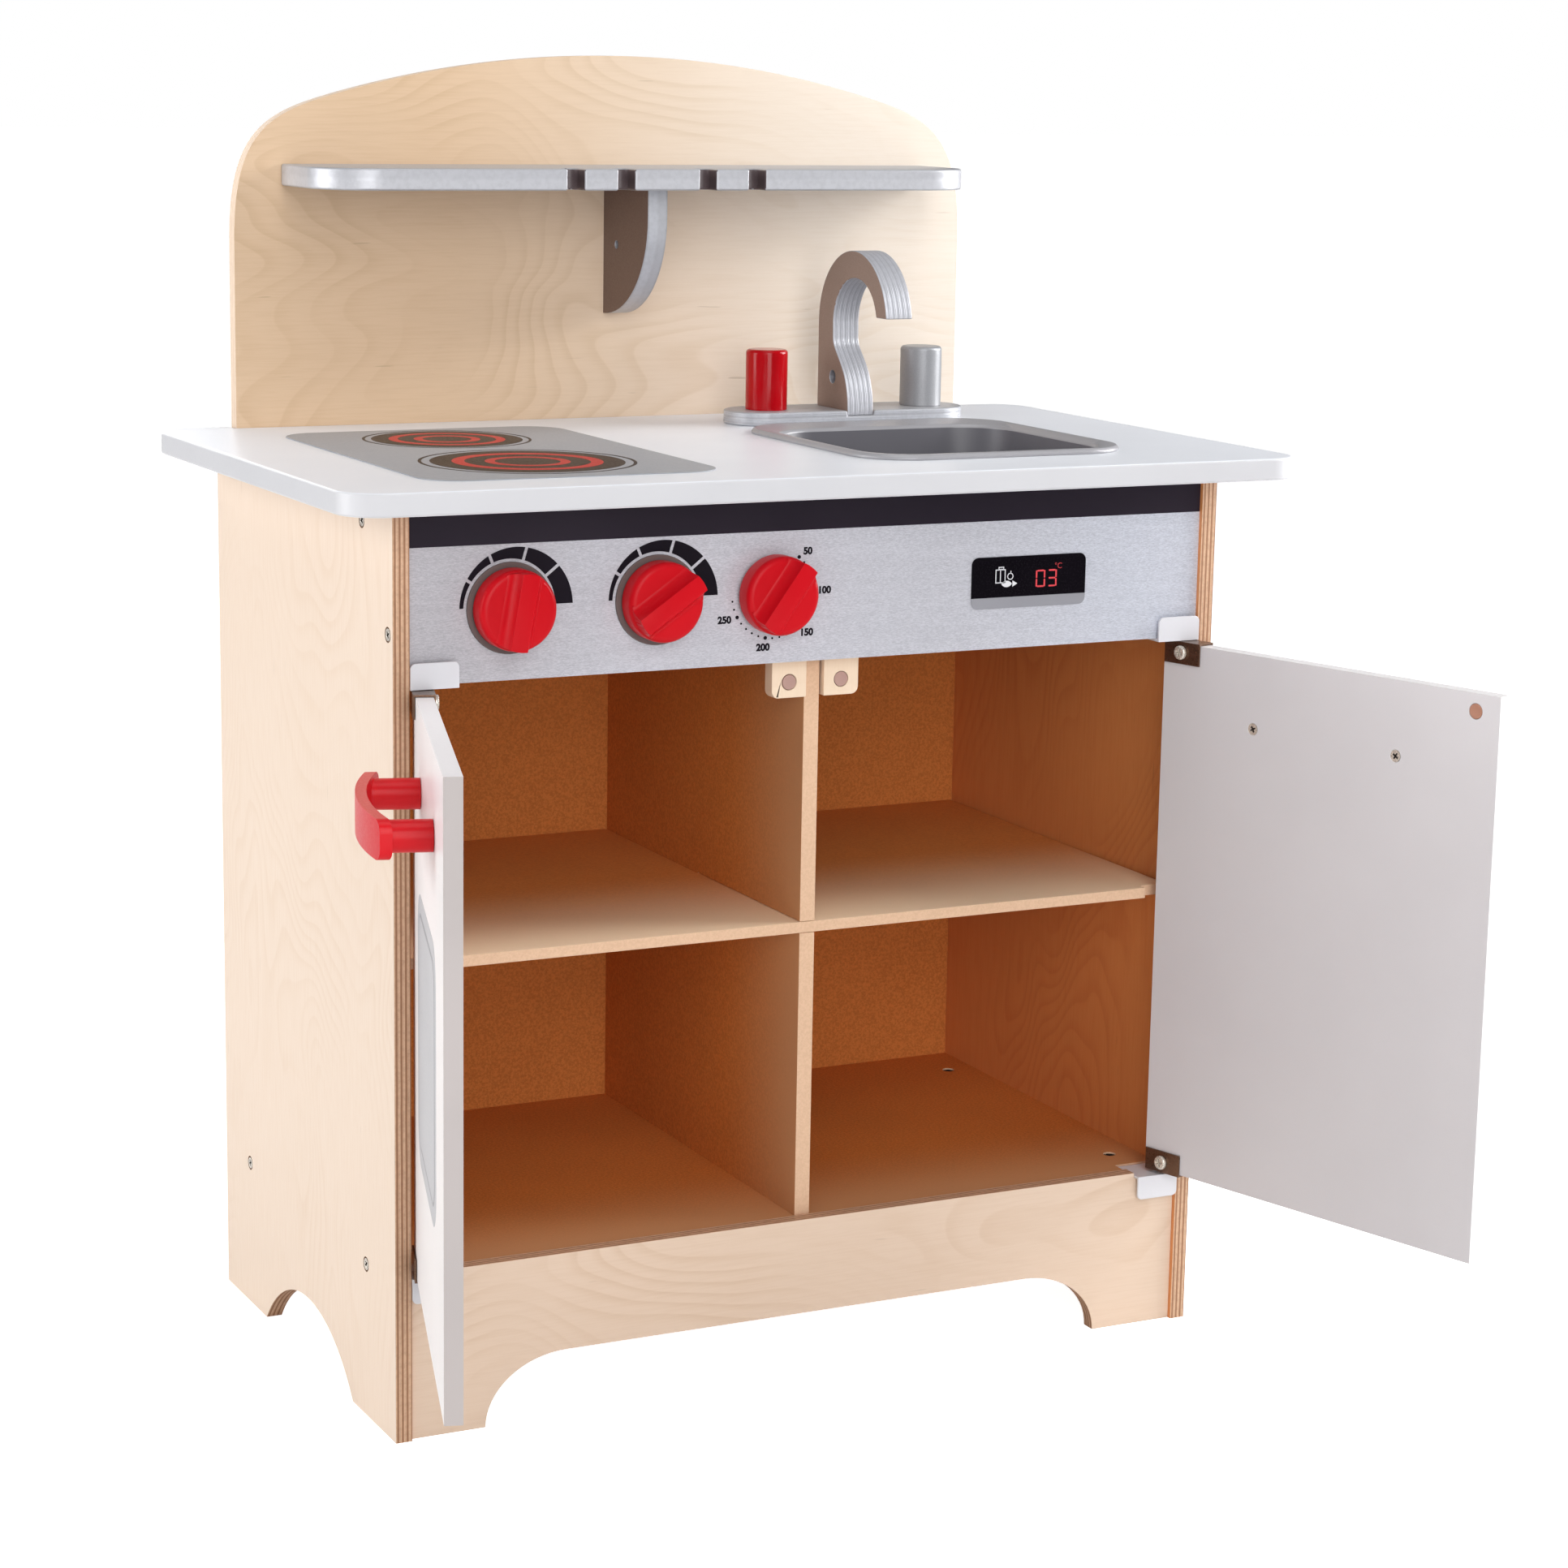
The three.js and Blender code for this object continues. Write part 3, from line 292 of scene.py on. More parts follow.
# ---- effects
def math_node(tree, operation, a, b=None):
    made = tree.nodes.new("ShaderNodeMath")
    made.operation = operation
    for socket, value in zip(made.inputs, (a, b)):
        if isinstance(value, (int, float)):
            socket.default_value = value
        elif value is not None:
            tree.links.new(value, socket)
    return made.outputs[0]


def group_of(name, inputs, outputs):
    tree = bpy.data.node_groups.new(name, "ShaderNodeTree")
    for label, kind in inputs:
        tree.interface.new_socket(name=label, in_out="INPUT", socket_type=kind)
    for label in outputs:
        tree.interface.new_socket(name=label, in_out="OUTPUT", socket_type="NodeSocketFloat")
    return tree, tree.nodes.new("NodeGroupInput").outputs, tree.nodes.new("NodeGroupOutput").inputs


def noise(tree, vector, scale, detail=2.0, rough=0.5, distort=0.0):
    made = tree.nodes.new("ShaderNodeTexNoise")
    for label, value in (("Detail", detail), ("Roughness", rough), ("Distortion", distort)):
        made.inputs[label].default_value = value
    if isinstance(scale, (int, float)):
        made.inputs["Scale"].default_value = scale
    else:
        tree.links.new(scale, made.inputs["Scale"])
    tree.links.new(vector, made.inputs["Vector"])
    return made.outputs["Fac"]


def stretched(tree, vector, scale, place=(0, 0, 0), turn=(0, 0, 0)):
    made = tree.nodes.new("ShaderNodeMapping")
    made.inputs["Scale"].default_value = scale
    made.inputs["Location"].default_value = place
    made.inputs["Rotation"].default_value = turn
    tree.links.new(vector, made.inputs["Vector"])
    return made.outputs["Vector"]


def ranged(tree, value, low, high, to_low=0.0, to_high=1.0):
    made = tree.nodes.new("ShaderNodeMapRange")
    made.interpolation_type = "SMOOTHSTEP"
    for label, number in (("From Min", low), ("From Max", high), ("To Min", to_low), ("To Max", to_high)):
        made.inputs[label].default_value = number
    tree.links.new(value, made.inputs["Value"])
    return made.outputs["Result"]


def make_birch_figure():
    """Growth lines in wide ovals, fine fibres, slow clouds and short dark flecks. The grain runs along Z."""
    inputs = [("Vector", "NodeSocketVector"), ("Ovals", "NodeSocketFloat")]
    tree, come, go = group_of("birch_figure", inputs, ("Lines", "Fibre", "Cloud", "Fleck"))
    vector = come["Vector"]
    wide = stretched(tree, vector, (1.0, 1.0, 0.5))
    length = tree.nodes.new("ShaderNodeVectorMath")
    length.operation = "LENGTH"
    tree.links.new(wide, length.inputs[0])
    ovals = math_node(tree, "MULTIPLY", length.outputs["Value"], come["Ovals"])
    height = math_node(tree, "ADD", noise(tree, wide, 6.5, 2.0, 0.5, 0.3), ovals)
    steps = math_node(tree, "FRACT", math_node(tree, "MULTIPLY", height, 30.0))
    rise = math_node(tree, "POWER", ranged(tree, steps, 0.0, 0.9), 3.0)
    lines = math_node(tree, "SUBTRACT", rise, ranged(tree, steps, 0.9, 1.0))
    fade = ranged(tree, noise(tree, vector, 7.0, 2.0), 0.4, 0.62, 0.1, 1.0)
    tree.links.new(math_node(tree, "MULTIPLY", lines, fade), go["Lines"])
    tree.links.new(noise(tree, stretched(tree, vector, (900.0, 900.0, 40.0)), 1.0, 3.0, 0.6), go["Fibre"])
    tree.links.new(noise(tree, wide, 8.0, 3.0, 0.5), go["Cloud"])
    streak = noise(tree, stretched(tree, vector, (420.0, 420.0, 34.0), (7, 3, 5)), 1.0, 1.0, 0.5)
    tree.links.new(ranged(tree, streak, 0.755, 0.82), go["Fleck"])
    return tree


def make_ply_layers():
    """The layers seen on a sawn edge, from the depth through the board."""
    inputs = [("Depth", "NodeSocketFloat"), ("Count", "NodeSocketFloat"), ("Vector", "NodeSocketVector")]
    tree, come, go = group_of("ply_layers", inputs, ("Dark", "Glue", "Fleck"))
    vector = come["Vector"]
    wander = math_node(tree, "SUBTRACT", noise(tree, vector, 50.0, 2.0), 0.5)
    wobble = math_node(tree, "MULTIPLY", wander, 0.035)
    depth = math_node(tree, "MULTIPLY", math_node(tree, "ADD", come["Depth"], wobble), come["Count"])
    tree.links.new(ranged(tree, math_node(tree, "PINGPONG", depth, 1.0), 0.42, 0.6), go["Dark"])
    tree.links.new(ranged(tree, math_node(tree, "PINGPONG", depth, 0.5), 0.0, 0.12, 1.0, 0.0), go["Glue"])
    tree.links.new(ranged(tree, noise(tree, vector, 320.0, 3.0, 0.65), 0.38, 0.68), go["Fleck"])
    return tree


def make_grit():
    """Even fine grit with soft clouds, for pressed fibres, paint and mouldings."""
    inputs = [("Vector", "NodeSocketVector"), ("Scale", "NodeSocketFloat")]
    tree, come, go = group_of("grit", inputs, ("Grain", "Cloud"))
    tree.links.new(noise(tree, come["Vector"], come["Scale"], 3.0, 0.7), go["Grain"])
    tree.links.new(noise(tree, come["Vector"], 9.0, 3.0, 0.5), go["Cloud"])
    return tree


BIRCH_FIGURE = make_birch_figure()
PLY_LAYERS = make_ply_layers()
GRIT = make_grit()


# ---- finishes
def finish_of(name, **values):
    material = bpy.data.materials.new(name)
    material.use_nodes = True
    tree = material.node_tree
    shader = tree.nodes["Principled BSDF"]
    for key, value in values.items():
        shader.inputs[key.replace("_", " ")].default_value = value
    return material, tree, shader, tree.nodes.new("ShaderNodeTexCoord").outputs["Object"]


def placed(tree, kind, **links):
    made = tree.nodes.new("ShaderNodeGroup")
    made.node_tree = kind
    for key, value in links.items():
        if isinstance(value, (int, float)):
            made.inputs[key].default_value = value
        else:
            tree.links.new(value, made.inputs[key])
    return made.outputs


def blend(tree, factor, low, high):
    made = tree.nodes.new("ShaderNodeMix")
    made.data_type = "RGBA"
    for i, value in ((6, low), (7, high)):
        if isinstance(value, tuple):
            made.inputs[i].default_value = (*value, 1)
        else:
            tree.links.new(value, made.inputs[i])
    tree.links.new(factor, made.inputs[0])
    return made.outputs[2]


def added(tree, *shares):
    """The sum of several masks, each times its share."""
    total = 0.0
    for mask, share in shares:
        total = math_node(tree, "ADD", math_node(tree, "MULTIPLY", mask, share), total)
    return total


def bump(tree, shader, height, strength, distance):
    made = tree.nodes.new("ShaderNodeBump")
    made.inputs["Strength"].default_value = strength
    made.inputs["Distance"].default_value = distance
    tree.links.new(height, made.inputs["Height"])
    tree.links.new(made.outputs["Normal"], shader.inputs["Normal"])


def towards(tree, coords, tone, other, axis, start, end):
    """The tone turns to the other one from one place to the next along an axis, for a painted light or shade.
    """
    split = tree.nodes.new("ShaderNodeSeparateXYZ")
    tree.links.new(coords, split.inputs[0])
    low, high = ((place - ORIGIN[axis]) * MM for place in sorted((start, end)))
    ends = (0.0, 1.0) if start < end else (1.0, 0.0)
    return blend(tree, ranged(tree, split.outputs[axis], low, high, *ends), tone, other)


def birch_face(name, light, deep, centre, across, ovals, lines, cloud, painted_lighter=None):
    """Peeled birch veneer. Its ovals lie round a centre, upright or across, and a painted light may pale it
    to the right.
    """
    material, tree, shader, coords = finish_of(name, Roughness=0.5, Coat_Weight=0.1, Coat_Roughness=0.35)
    x, y, z = at(*centre)
    place, turn = ((-z, -y, x), (0, math.pi / 2, 0)) if across else ((-x, -y, -z), (0, 0, 0))
    figure = placed(tree, BIRCH_FIGURE, Vector=stretched(tree, coords, (1, 1, 1), place, turn), Ovals=ovals)
    fibre = ranged(tree, figure["Fibre"], 0.35, 0.75)
    total = added(tree, (figure["Lines"], lines), (figure["Cloud"], cloud), (fibre, 0.16))
    fleck = math_node(tree, "MULTIPLY", figure["Fleck"], 0.35)
    tone = blend(tree, total, light, deep)
    if painted_lighter:
        tone = towards(tree, coords, tone, blend(tree, total, *painted_lighter), X, *VENEER_LIGHT_SPAN)
    tone = blend(tree, fleck, tone, tuple(0.6 * c for c in deep))
    tree.links.new(tone, shader.inputs["Base Color"])
    tree.links.new(ranged(tree, figure["Fibre"], 0.3, 0.8, 0.44, 0.58), shader.inputs["Roughness"])
    bump(tree, shader, figure["Fibre"], 0.08, 0.0002)
    return material


def layered_edge(name, axis, start, thickness, count, light, deep, glue, rise, **values):
    """A sawn edge with its layers, from the board's own place and thickness."""
    material, tree, shader, coords = finish_of(name, **values)
    split = tree.nodes.new("ShaderNodeSeparateXYZ")
    tree.links.new(coords, split.inputs[0])
    depth = tree.nodes.new("ShaderNodeMapRange")
    low = (start - ORIGIN[axis]) * MM
    depth.inputs["From Min"].default_value = low
    depth.inputs["From Max"].default_value = low + thickness * MM
    tree.links.new(split.outputs[axis], depth.inputs["Value"])
    layers = placed(tree, PLY_LAYERS, Depth=depth.outputs["Result"], Count=count, Vector=coords)
    mixed = blend(tree, layers["Dark"], light, deep)
    mask = added(tree, (layers["Glue"], 0.6), (layers["Fleck"], 0.22))
    tree.links.new(blend(tree, mask, mixed, glue), shader.inputs["Base Color"])
    bump(tree, shader, added(tree, (layers["Dark"], -0.6), (layers["Glue"], -0.6)), rise, 0.0004)
    return material


def ply_edge(name, axis, start, light=(0.72, 0.475, 0.31), deep=(0.4, 0.2, 0.105), glue=(0.22, 0.1, 0.055)):
    return layered_edge(name, axis, start, PLY, 7, light, deep, glue, 0.3, Roughness=0.62)


def silver_edge(name, axis, start, thickness, count, light=(0.54, 0.55, 0.59), deep=(0.49, 0.495, 0.53)):
    glue = tuple(0.62 * c for c in light)
    return layered_edge(
        name, axis, start, thickness, count, light, deep, glue, 0.45, Roughness=0.4, Metallic=0.3)


def fibreboard(name, light, deep, roughness=0.75, front=None, depth=0):
    """Pressed fibres, whose tone may turn to a painted front light over a depth towards the front."""
    material, tree, shader, coords = finish_of(name, Roughness=roughness, Specular_IOR_Level=0.25)
    grit = placed(tree, GRIT, Vector=coords, Scale=700.0)
    total = added(tree, (ranged(tree, grit["Grain"], 0.35, 0.65), 0.5), (grit["Cloud"], 0.5))
    tone = blend(tree, total, light, deep)
    # The front tone is painted light over the given depth
    if front:
        tone = towards(tree, coords, tone, front, Y, PANEL_FRONT + depth, PANEL_FRONT)
    tree.links.new(tone, shader.inputs["Base Color"])
    bump(tree, shader, grit["Grain"], 0.12, 0.0002)
    return material


def paint_finish(name, colour, shade, roughness, scale=900.0, rise=0.03, **values):
    """A sprayed or moulded surface: an even colour with a little cloud and a fine skin."""
    material, tree, shader, coords = finish_of(name, Roughness=roughness, **values)
    grit = placed(tree, GRIT, Vector=coords, Scale=scale)
    tone = blend(tree, ranged(tree, grit["Cloud"], 0.3, 0.7), colour, shade)
    tree.links.new(tone, shader.inputs["Base Color"])
    spread = ranged(tree, grit["Grain"], 0.3, 0.7, roughness - 0.04, roughness + 0.05)
    tree.links.new(spread, shader.inputs["Roughness"])
    bump(tree, shader, grit["Grain"], rise, 0.0002)
    return material


def ink(name, colour, shade, level):
    """A thin matt print, with its specular level."""
    return paint_finish(name, colour, shade, 0.4, Specular_IOR_Level=level)


def silver_paint(name, colour, shade, metallic=0.3):
    """Silver paint on wood, with its fine metal flake."""
    material, tree, shader, coords = finish_of(name, Roughness=0.4, Metallic=metallic)
    grit = placed(tree, GRIT, Vector=coords, Scale=1500.0)
    total = added(tree, (ranged(tree, grit["Grain"], 0.35, 0.7), 0.6), (grit["Cloud"], 0.4))
    tree.links.new(blend(tree, total, colour, shade), shader.inputs["Base Color"])
    tree.links.new(ranged(tree, grit["Grain"], 0.3, 0.7, 0.34, 0.46), shader.inputs["Roughness"])
    bump(tree, shader, grit["Grain"], 0.1, 0.0002)
    return material


def brushed_film(name, light, deep, painted_shade, painted_lighter):
    """Brushed metal film: short fine strokes across, over a slow cloud, with painted shade darkening the left
    and painted light paling the right.
    """
    material, tree, shader, coords = finish_of(name, Roughness=0.4, Metallic=0.25)
    fine = noise(tree, stretched(tree, coords, (600.0, 900.0, 2600.0)), 1.0, 3.0, 0.7)
    broad = noise(tree, stretched(tree, coords, (14.0, 60.0, 420.0)), 1.0, 2.0, 0.5)
    slow = noise(tree, coords, 6.0, 2.0)
    strokes = ranged(tree, fine, 0.3, 0.7)
    total = added(tree, (strokes, 0.62), (ranged(tree, broad, 0.3, 0.7), 0.08), (slow, 0.3))
    tone = blend(tree, total, light, deep)
    tone = towards(tree, coords, tone, blend(tree, total, *painted_shade), X, *FILM_SHADE_SPAN)
    tone = towards(tree, coords, tone, blend(tree, total, *painted_lighter), X, *FILM_LIGHT_SPAN)
    tree.links.new(tone, shader.inputs["Base Color"])
    tree.links.new(ranged(tree, fine, 0.3, 0.7, 0.36, 0.46), shader.inputs["Roughness"])
    bump(tree, shader, fine, 0.08, 0.0002)
    return material


def painted_glow_finish(name, colour, dim, strength):
    """Printed segments on the dark display, made to shine by emission as a painted glow, a little uneven."""
    material, tree, shader, coords = finish_of(name, Roughness=0.4, Emission_Strength=strength)
    grit = placed(tree, GRIT, Vector=coords, Scale=900.0)
    tone = blend(tree, ranged(tree, grit["Grain"], 0.3, 0.7), colour, dim)
    tree.links.new(tone, shader.inputs["Base Color"])
    tree.links.new(tone, shader.inputs["Emission Color"])
    return material


# The backboard's veneer pales to the right as a painted light
BIRCH_BACK = birch_face(
    "backboard_veneer_lit_right", (0.73, 0.53, 0.355), (0.55, 0.365, 0.205), (160, 280, 560), True, 1.6, 0.32, 0.36,
    ((0.83, 0.745, 0.655), (0.71, 0.585, 0.455)))
BIRCH_SIDE = birch_face(
    "side_veneer", (0.82, 0.675, 0.555), (0.7, 0.52, 0.375), (0, 150, -250), False, 2.2, 0.24, 0.2)
BIRCH_FRONT = birch_face(
    "front_veneer", (0.77, 0.6, 0.47), (0.62, 0.43, 0.29), (60, 0, -60), True, 2.0, 0.34, 0.3)
# The same birch for the inner faces, darker and redder: painted shade
BIRCH_SHADED_INNER = birch_face(
    "shaded_inner_veneer", (0.74, 0.29, 0.095), (0.6, 0.19, 0.055), (473, 60, 300), False, 1.6, 0.36, 0.3)
BIRCH_BLOCK = birch_face(
    "block_wood", (0.86, 0.69, 0.52), (0.76, 0.56, 0.39), (240, 11, 400), False, 1.0, 0.12, 0.2)
# Dark wood for the slopes round each screw: painted shade in the recess
CRATER_SHADE_WOOD = fibreboard("crater_shade_wood", (0.2, 0.105, 0.06), (0.12, 0.06, 0.033))
# Fibreboard whose tone turns duller near the front: painted light from the opening
BOARD_FRONT_LIT = fibreboard(
    "fibreboard_face_front_lit", (0.74, 0.255, 0.058), (0.44, 0.14, 0.028), 0.75, (0.56, 0.28, 0.13), 110)
# Shelf fibreboard that turns much paler near the front: a painted pool of light
SHELF_BOARD_FRONT_LIT = fibreboard(
    "shelf_fibreboard_front_lit", (0.72, 0.27, 0.07), (0.55, 0.19, 0.045), 0.75, (1.0, 0.78, 0.54), 150)
BOARD_EDGE = fibreboard("fibreboard_edge", (0.78, 0.53, 0.36), (0.66, 0.43, 0.28), 0.8)
# One white lacquer on the worktop: its top lighter as painted light, its edges darker as painted shade
LIT_TOP_WHITE = paint_finish("worktop_lit_lacquer", (0.82, 0.84, 0.89), (0.785, 0.805, 0.855), 0.35, 500.0, 0.03)
SHADED_TOP_EDGE = paint_finish("worktop_shaded_edge", (0.63, 0.63, 0.655), (0.6, 0.6, 0.625), 0.38, 500.0, 0.04)
WHITE = paint_finish("door_lacquer", (0.86, 0.835, 0.84), (0.83, 0.805, 0.81), 0.35, 500.0, 0.03)
# The doors' inner faces: the same white lacquer, darker as painted shade
SHADED_INNER_WHITE = paint_finish("door_inner_shaded_lacquer", (0.68, 0.655, 0.67), (0.65, 0.625, 0.64), 0.4, 500.0, 0.03)
# The control panel's film darkens to the left as painted shade and pales to the right as painted light
BRUSHED = brushed_film(
    "brushed_film", (0.7, 0.7, 0.755), (0.4, 0.4, 0.445),
    ((0.59, 0.575, 0.61), (0.34, 0.33, 0.36)), ((0.76, 0.785, 0.87), (0.435, 0.45, 0.515)))
PRINT_BLACK = ink("print_black", (0.006, 0.004, 0.008), (0.009, 0.006, 0.011), 0.1)
DISPLAY_BLACK = paint_finish(
    "display_gloss", (0.003, 0.002, 0.004), (0.005, 0.003, 0.006), 0.25, 900.0, 0.02, Specular_IOR_Level=0.08)
BLACK = paint_finish(
    "black_print", (0.016, 0.011, 0.019), (0.022, 0.016, 0.025), 0.42, 900.0, 0.04, Specular_IOR_Level=0.15)
SILVER = silver_paint("silver_paint", (0.45, 0.455, 0.48), (0.38, 0.385, 0.41))
SILVER_SHELF = silver_paint("shelf_silver", (0.5, 0.505, 0.535), (0.43, 0.435, 0.46))
# The spout's broad sides: darker brownish silver as painted shade
SILVER_SPOUT_SHADED = silver_paint("spout_silver_shaded", (0.3, 0.213, 0.175), (0.256, 0.174, 0.143), 0.15)
# The bracket's broad sides: dark brownish silver as painted shade
SILVER_BRACKET_SHADED = silver_paint("bracket_silver_shaded", (0.15, 0.089, 0.068), (0.128, 0.073, 0.055), 0.15)
SILVER_TAP = silver_paint("tap_silver", (0.38, 0.385, 0.405), (0.32, 0.325, 0.345))
# Near black silver for the slot walls: painted shade inside the shelf's slots
SLOT_SHADE = silver_paint("slot_shade_silver", (0.11, 0.08, 0.085), (0.08, 0.058, 0.06), 0.1)
# The sink is one grey plastic: its bowl is darker as painted shade, its rim lighter as painted light
BASIN_SHADED_BOWL = paint_finish("basin_shaded_plastic", (0.135, 0.132, 0.15), (0.115, 0.112, 0.128), 0.4, 900.0, 0.08)
BASIN_LIT_RIM = paint_finish(
    "basin_lit_rim", (0.36, 0.355, 0.375), (0.32, 0.315, 0.335), 0.36, 900.0, 0.06, Metallic=0.1)
HOB_GREY = ink("hob_grey_print", (0.35, 0.365, 0.395), (0.33, 0.345, 0.375), 0.3)
HOB_BLACK = ink("hob_black_print", (0.02, 0.012, 0.01), (0.026, 0.016, 0.013), 0.2)
HOB_RED = ink("hob_red_print", (0.56, 0.022, 0.022), (0.5, 0.018, 0.018), 0.2)
RED = paint_finish(
    "red_plastic", (0.58, 0.004, 0.011), (0.54, 0.003, 0.009), 0.34, 700.0, 0.03, Specular_IOR_Level=0.15)
RED_PAINT = paint_finish(
    "red_paint", (0.46, 0.002, 0.007), (0.42, 0.002, 0.006), 0.12, 90.0, 0.03, Specular_IOR_Level=0.25)
GRIP_RED = paint_finish(
    "grip_plastic", (0.62, 0.006, 0.012), (0.6, 0.005, 0.011), 0.32, 700.0, 0.02, Specular_IOR_Level=0.22)
COLLAR = paint_finish("dark_collar", (0.13, 0.09, 0.085), (0.11, 0.075, 0.07), 0.55, 900.0, 0.1)
BRONZE = paint_finish("bronze_sheet", (0.2, 0.12, 0.08), (0.13, 0.075, 0.05), 0.3, 900.0, 0.06, Metallic=0.8)
STEEL = paint_finish("plated_steel", (0.78, 0.73, 0.65), (0.64, 0.59, 0.52), 0.26, 900.0, 0.05, Metallic=0.5)
# Near black steel in the screws' cross recesses: painted shade
RECESS_SHADE_STEEL = paint_finish(
    "recess_shade_steel", (0.07, 0.055, 0.05), (0.045, 0.035, 0.03), 0.4, 900.0, 0.05, Metallic=0.6)
# Near black, dull steel for the nuts deep in their holes: painted shade
NUT_SHADE_STEEL = paint_finish(
    "nut_shade_steel", (0.035, 0.026, 0.022), (0.02, 0.015, 0.013), 0.55, 900.0, 0.05, Specular_IOR_Level=0.15)
STRIKE = paint_finish("copper_strike", (0.5, 0.25, 0.17), (0.42, 0.2, 0.13), 0.4, 1500.0, 0.1, Metallic=0.3)
MAGNET = paint_finish("sintered_magnet", (0.52, 0.33, 0.28), (0.44, 0.27, 0.23), 0.5, 1500.0, 0.1)
# Grey-brown edges for the left door only: painted shade on its white lacquer
SHADED_EDGE_WHITE = paint_finish("shaded_lacquered_edge", (0.52, 0.47, 0.46), (0.48, 0.435, 0.425), 0.4, 500.0, 0.04)
HINGE_WHITE = paint_finish("white_coat", (0.72, 0.715, 0.75), (0.69, 0.685, 0.72), 0.35, 700.0, 0.04)
DISPLAY_GREY = paint_finish("display_grey", (0.3, 0.3, 0.33), (0.26, 0.26, 0.29), 0.35)
WINDOW_GREY = paint_finish("window_print", (0.5, 0.51, 0.54), (0.46, 0.47, 0.5), 0.4, 700.0, 0.03)
WINDOW_LINE = paint_finish("window_line", (0.3, 0.31, 0.34), (0.27, 0.28, 0.31), 0.4, 700.0, 0.03)
PALE_PRINT = paint_finish("pale_print", (0.75, 0.75, 0.78), (0.7, 0.7, 0.73), 0.4)
# The printed display figures shine though nothing lights them: painted glow
PAINTED_GLOW = painted_glow_finish("red_segments_painted_glow", (0.6, 0.05, 0.06), (0.45, 0.03, 0.04), 0.45)
DIM_PAINTED_GLOW = painted_glow_finish("dim_segments_painted_glow", (0.4, 0.03, 0.035), (0.3, 0.02, 0.024), 0.35)


# ---- boards
def add_side_panels():
    for side, start, x, outer in (("left", 0, 0, -1), ("right", WIDTH - PLY, WIDTH, 1)):
        name = f"{side}_side_panel"
        panel = from_solid(name, f"{side}_side_board")
        for y, z in SIDE_SCREWS.values():
            combine(panel, crater(x, y, z, outer), "DIFFERENCE")
        # The inner faces take the darker birch of painted shade
        faces = (BIRCH_SIDE, BIRCH_SHADED_INNER) if outer < 0 else (BIRCH_SHADED_INNER, BIRCH_SIDE)
        veneer(panel, X, faces[0], ply_edge(f"{side}_side_layers", X, start), faces[1])
        # The slanted faces round each screw take the dark wood as painted shade
        crater_shade = extra_finish(panel, CRATER_SHADE_WOOD)
        for face in panel.data.polygons:
            slanted = 0.3 < abs(face.normal[X]) < 0.95
            if slanted and 0.2 * MM < abs(face.center[X] - at(x, 0, 0)[X]) < 1.9 * MM:
                face.material_index = crater_shade
        dress(soften(panel, 0.4), name)


def crater(x, y, z, outer):
    """The cone that a screw head is driven into; the slopes it leaves get a painted shade."""
    inner_radius, mouth_radius, depth = 2.9 * MM, 5.2 * MM, 2 * MM
    bpy.ops.mesh.primitive_cone_add(
        vertices=40, radius1=inner_radius, radius2=mouth_radius, depth=depth, location=at(x, y, z),
        rotation=(0, outer * math.pi / 2, 0))
    return settle(bpy.context.object)


def add_plain_boards():
    kick = soften(from_solid("kick_board", "kick_front"), 0.4)
    dress(veneer(kick, Y, BIRCH_FRONT, ply_edge("kick_layers", Y, PANEL_FRONT)), "kick_board")
    back = soften(from_solid("backboard", "arched_backboard"), 0.5)
    pale = ply_edge(
        "backboard_layers", Y, BACKBOARD_FRONT, (0.84, 0.68, 0.54), (0.78, 0.59, 0.44), (0.68, 0.5, 0.36))
    dress(veneer(back, Y, BIRCH_BACK, pale), "backboard")
    for name, axis in (("back_panel", Y), ("floor_board", Z), ("middle_shelf", Z), ("divider", X)):
        board = soften(from_solid(name, name + "_board"), 0.3)
        dress(veneer(board, axis, SHELF_BOARD_FRONT_LIT if name == "middle_shelf" else BOARD_FRONT_LIT, BOARD_EDGE), name)
    top = veneer(from_solid("worktop", "worktop_board"), Z, LIT_TOP_WHITE, SHADED_TOP_EDGE)
    dress(soften(top, 1.4, 4), "worktop")
    for side in DOORS:
        for part, word in (("worktop_cleat", "bar"), ("catch_block", "wood")):
            name = f"{side}_{part}"
            plain_piece(name, f"{name}_{word}", BIRCH_BLOCK, 0.8)
        name = f"{side}_catch_magnet"
        plain_piece(name, name + "_disc", MAGNET, 0.3)


def add_control_panel():
    panel = from_solid("control_panel", "control_panel_board")
    band = at(0, 0, BAND_FOOT)
    pick(panel, "VERT", lambda c: True)
    bpy.ops.mesh.bisect(plane_co=band, plane_no=(0, 0, 1))
    done()
    # The panel's back face takes the darker birch of painted shade
    veneer(panel, Y, BRUSHED, ply_edge("control_panel_layers", Y, PANEL_FRONT), BIRCH_SHADED_INNER)
    black = extra_finish(panel, BLACK)
    for face in panel.data.polygons:
        if face.normal[Y] < -BROAD and face.center[Z] > band[Z]:
            face.material_index = black
    dress(soften(panel, 0.35), "control_panel")


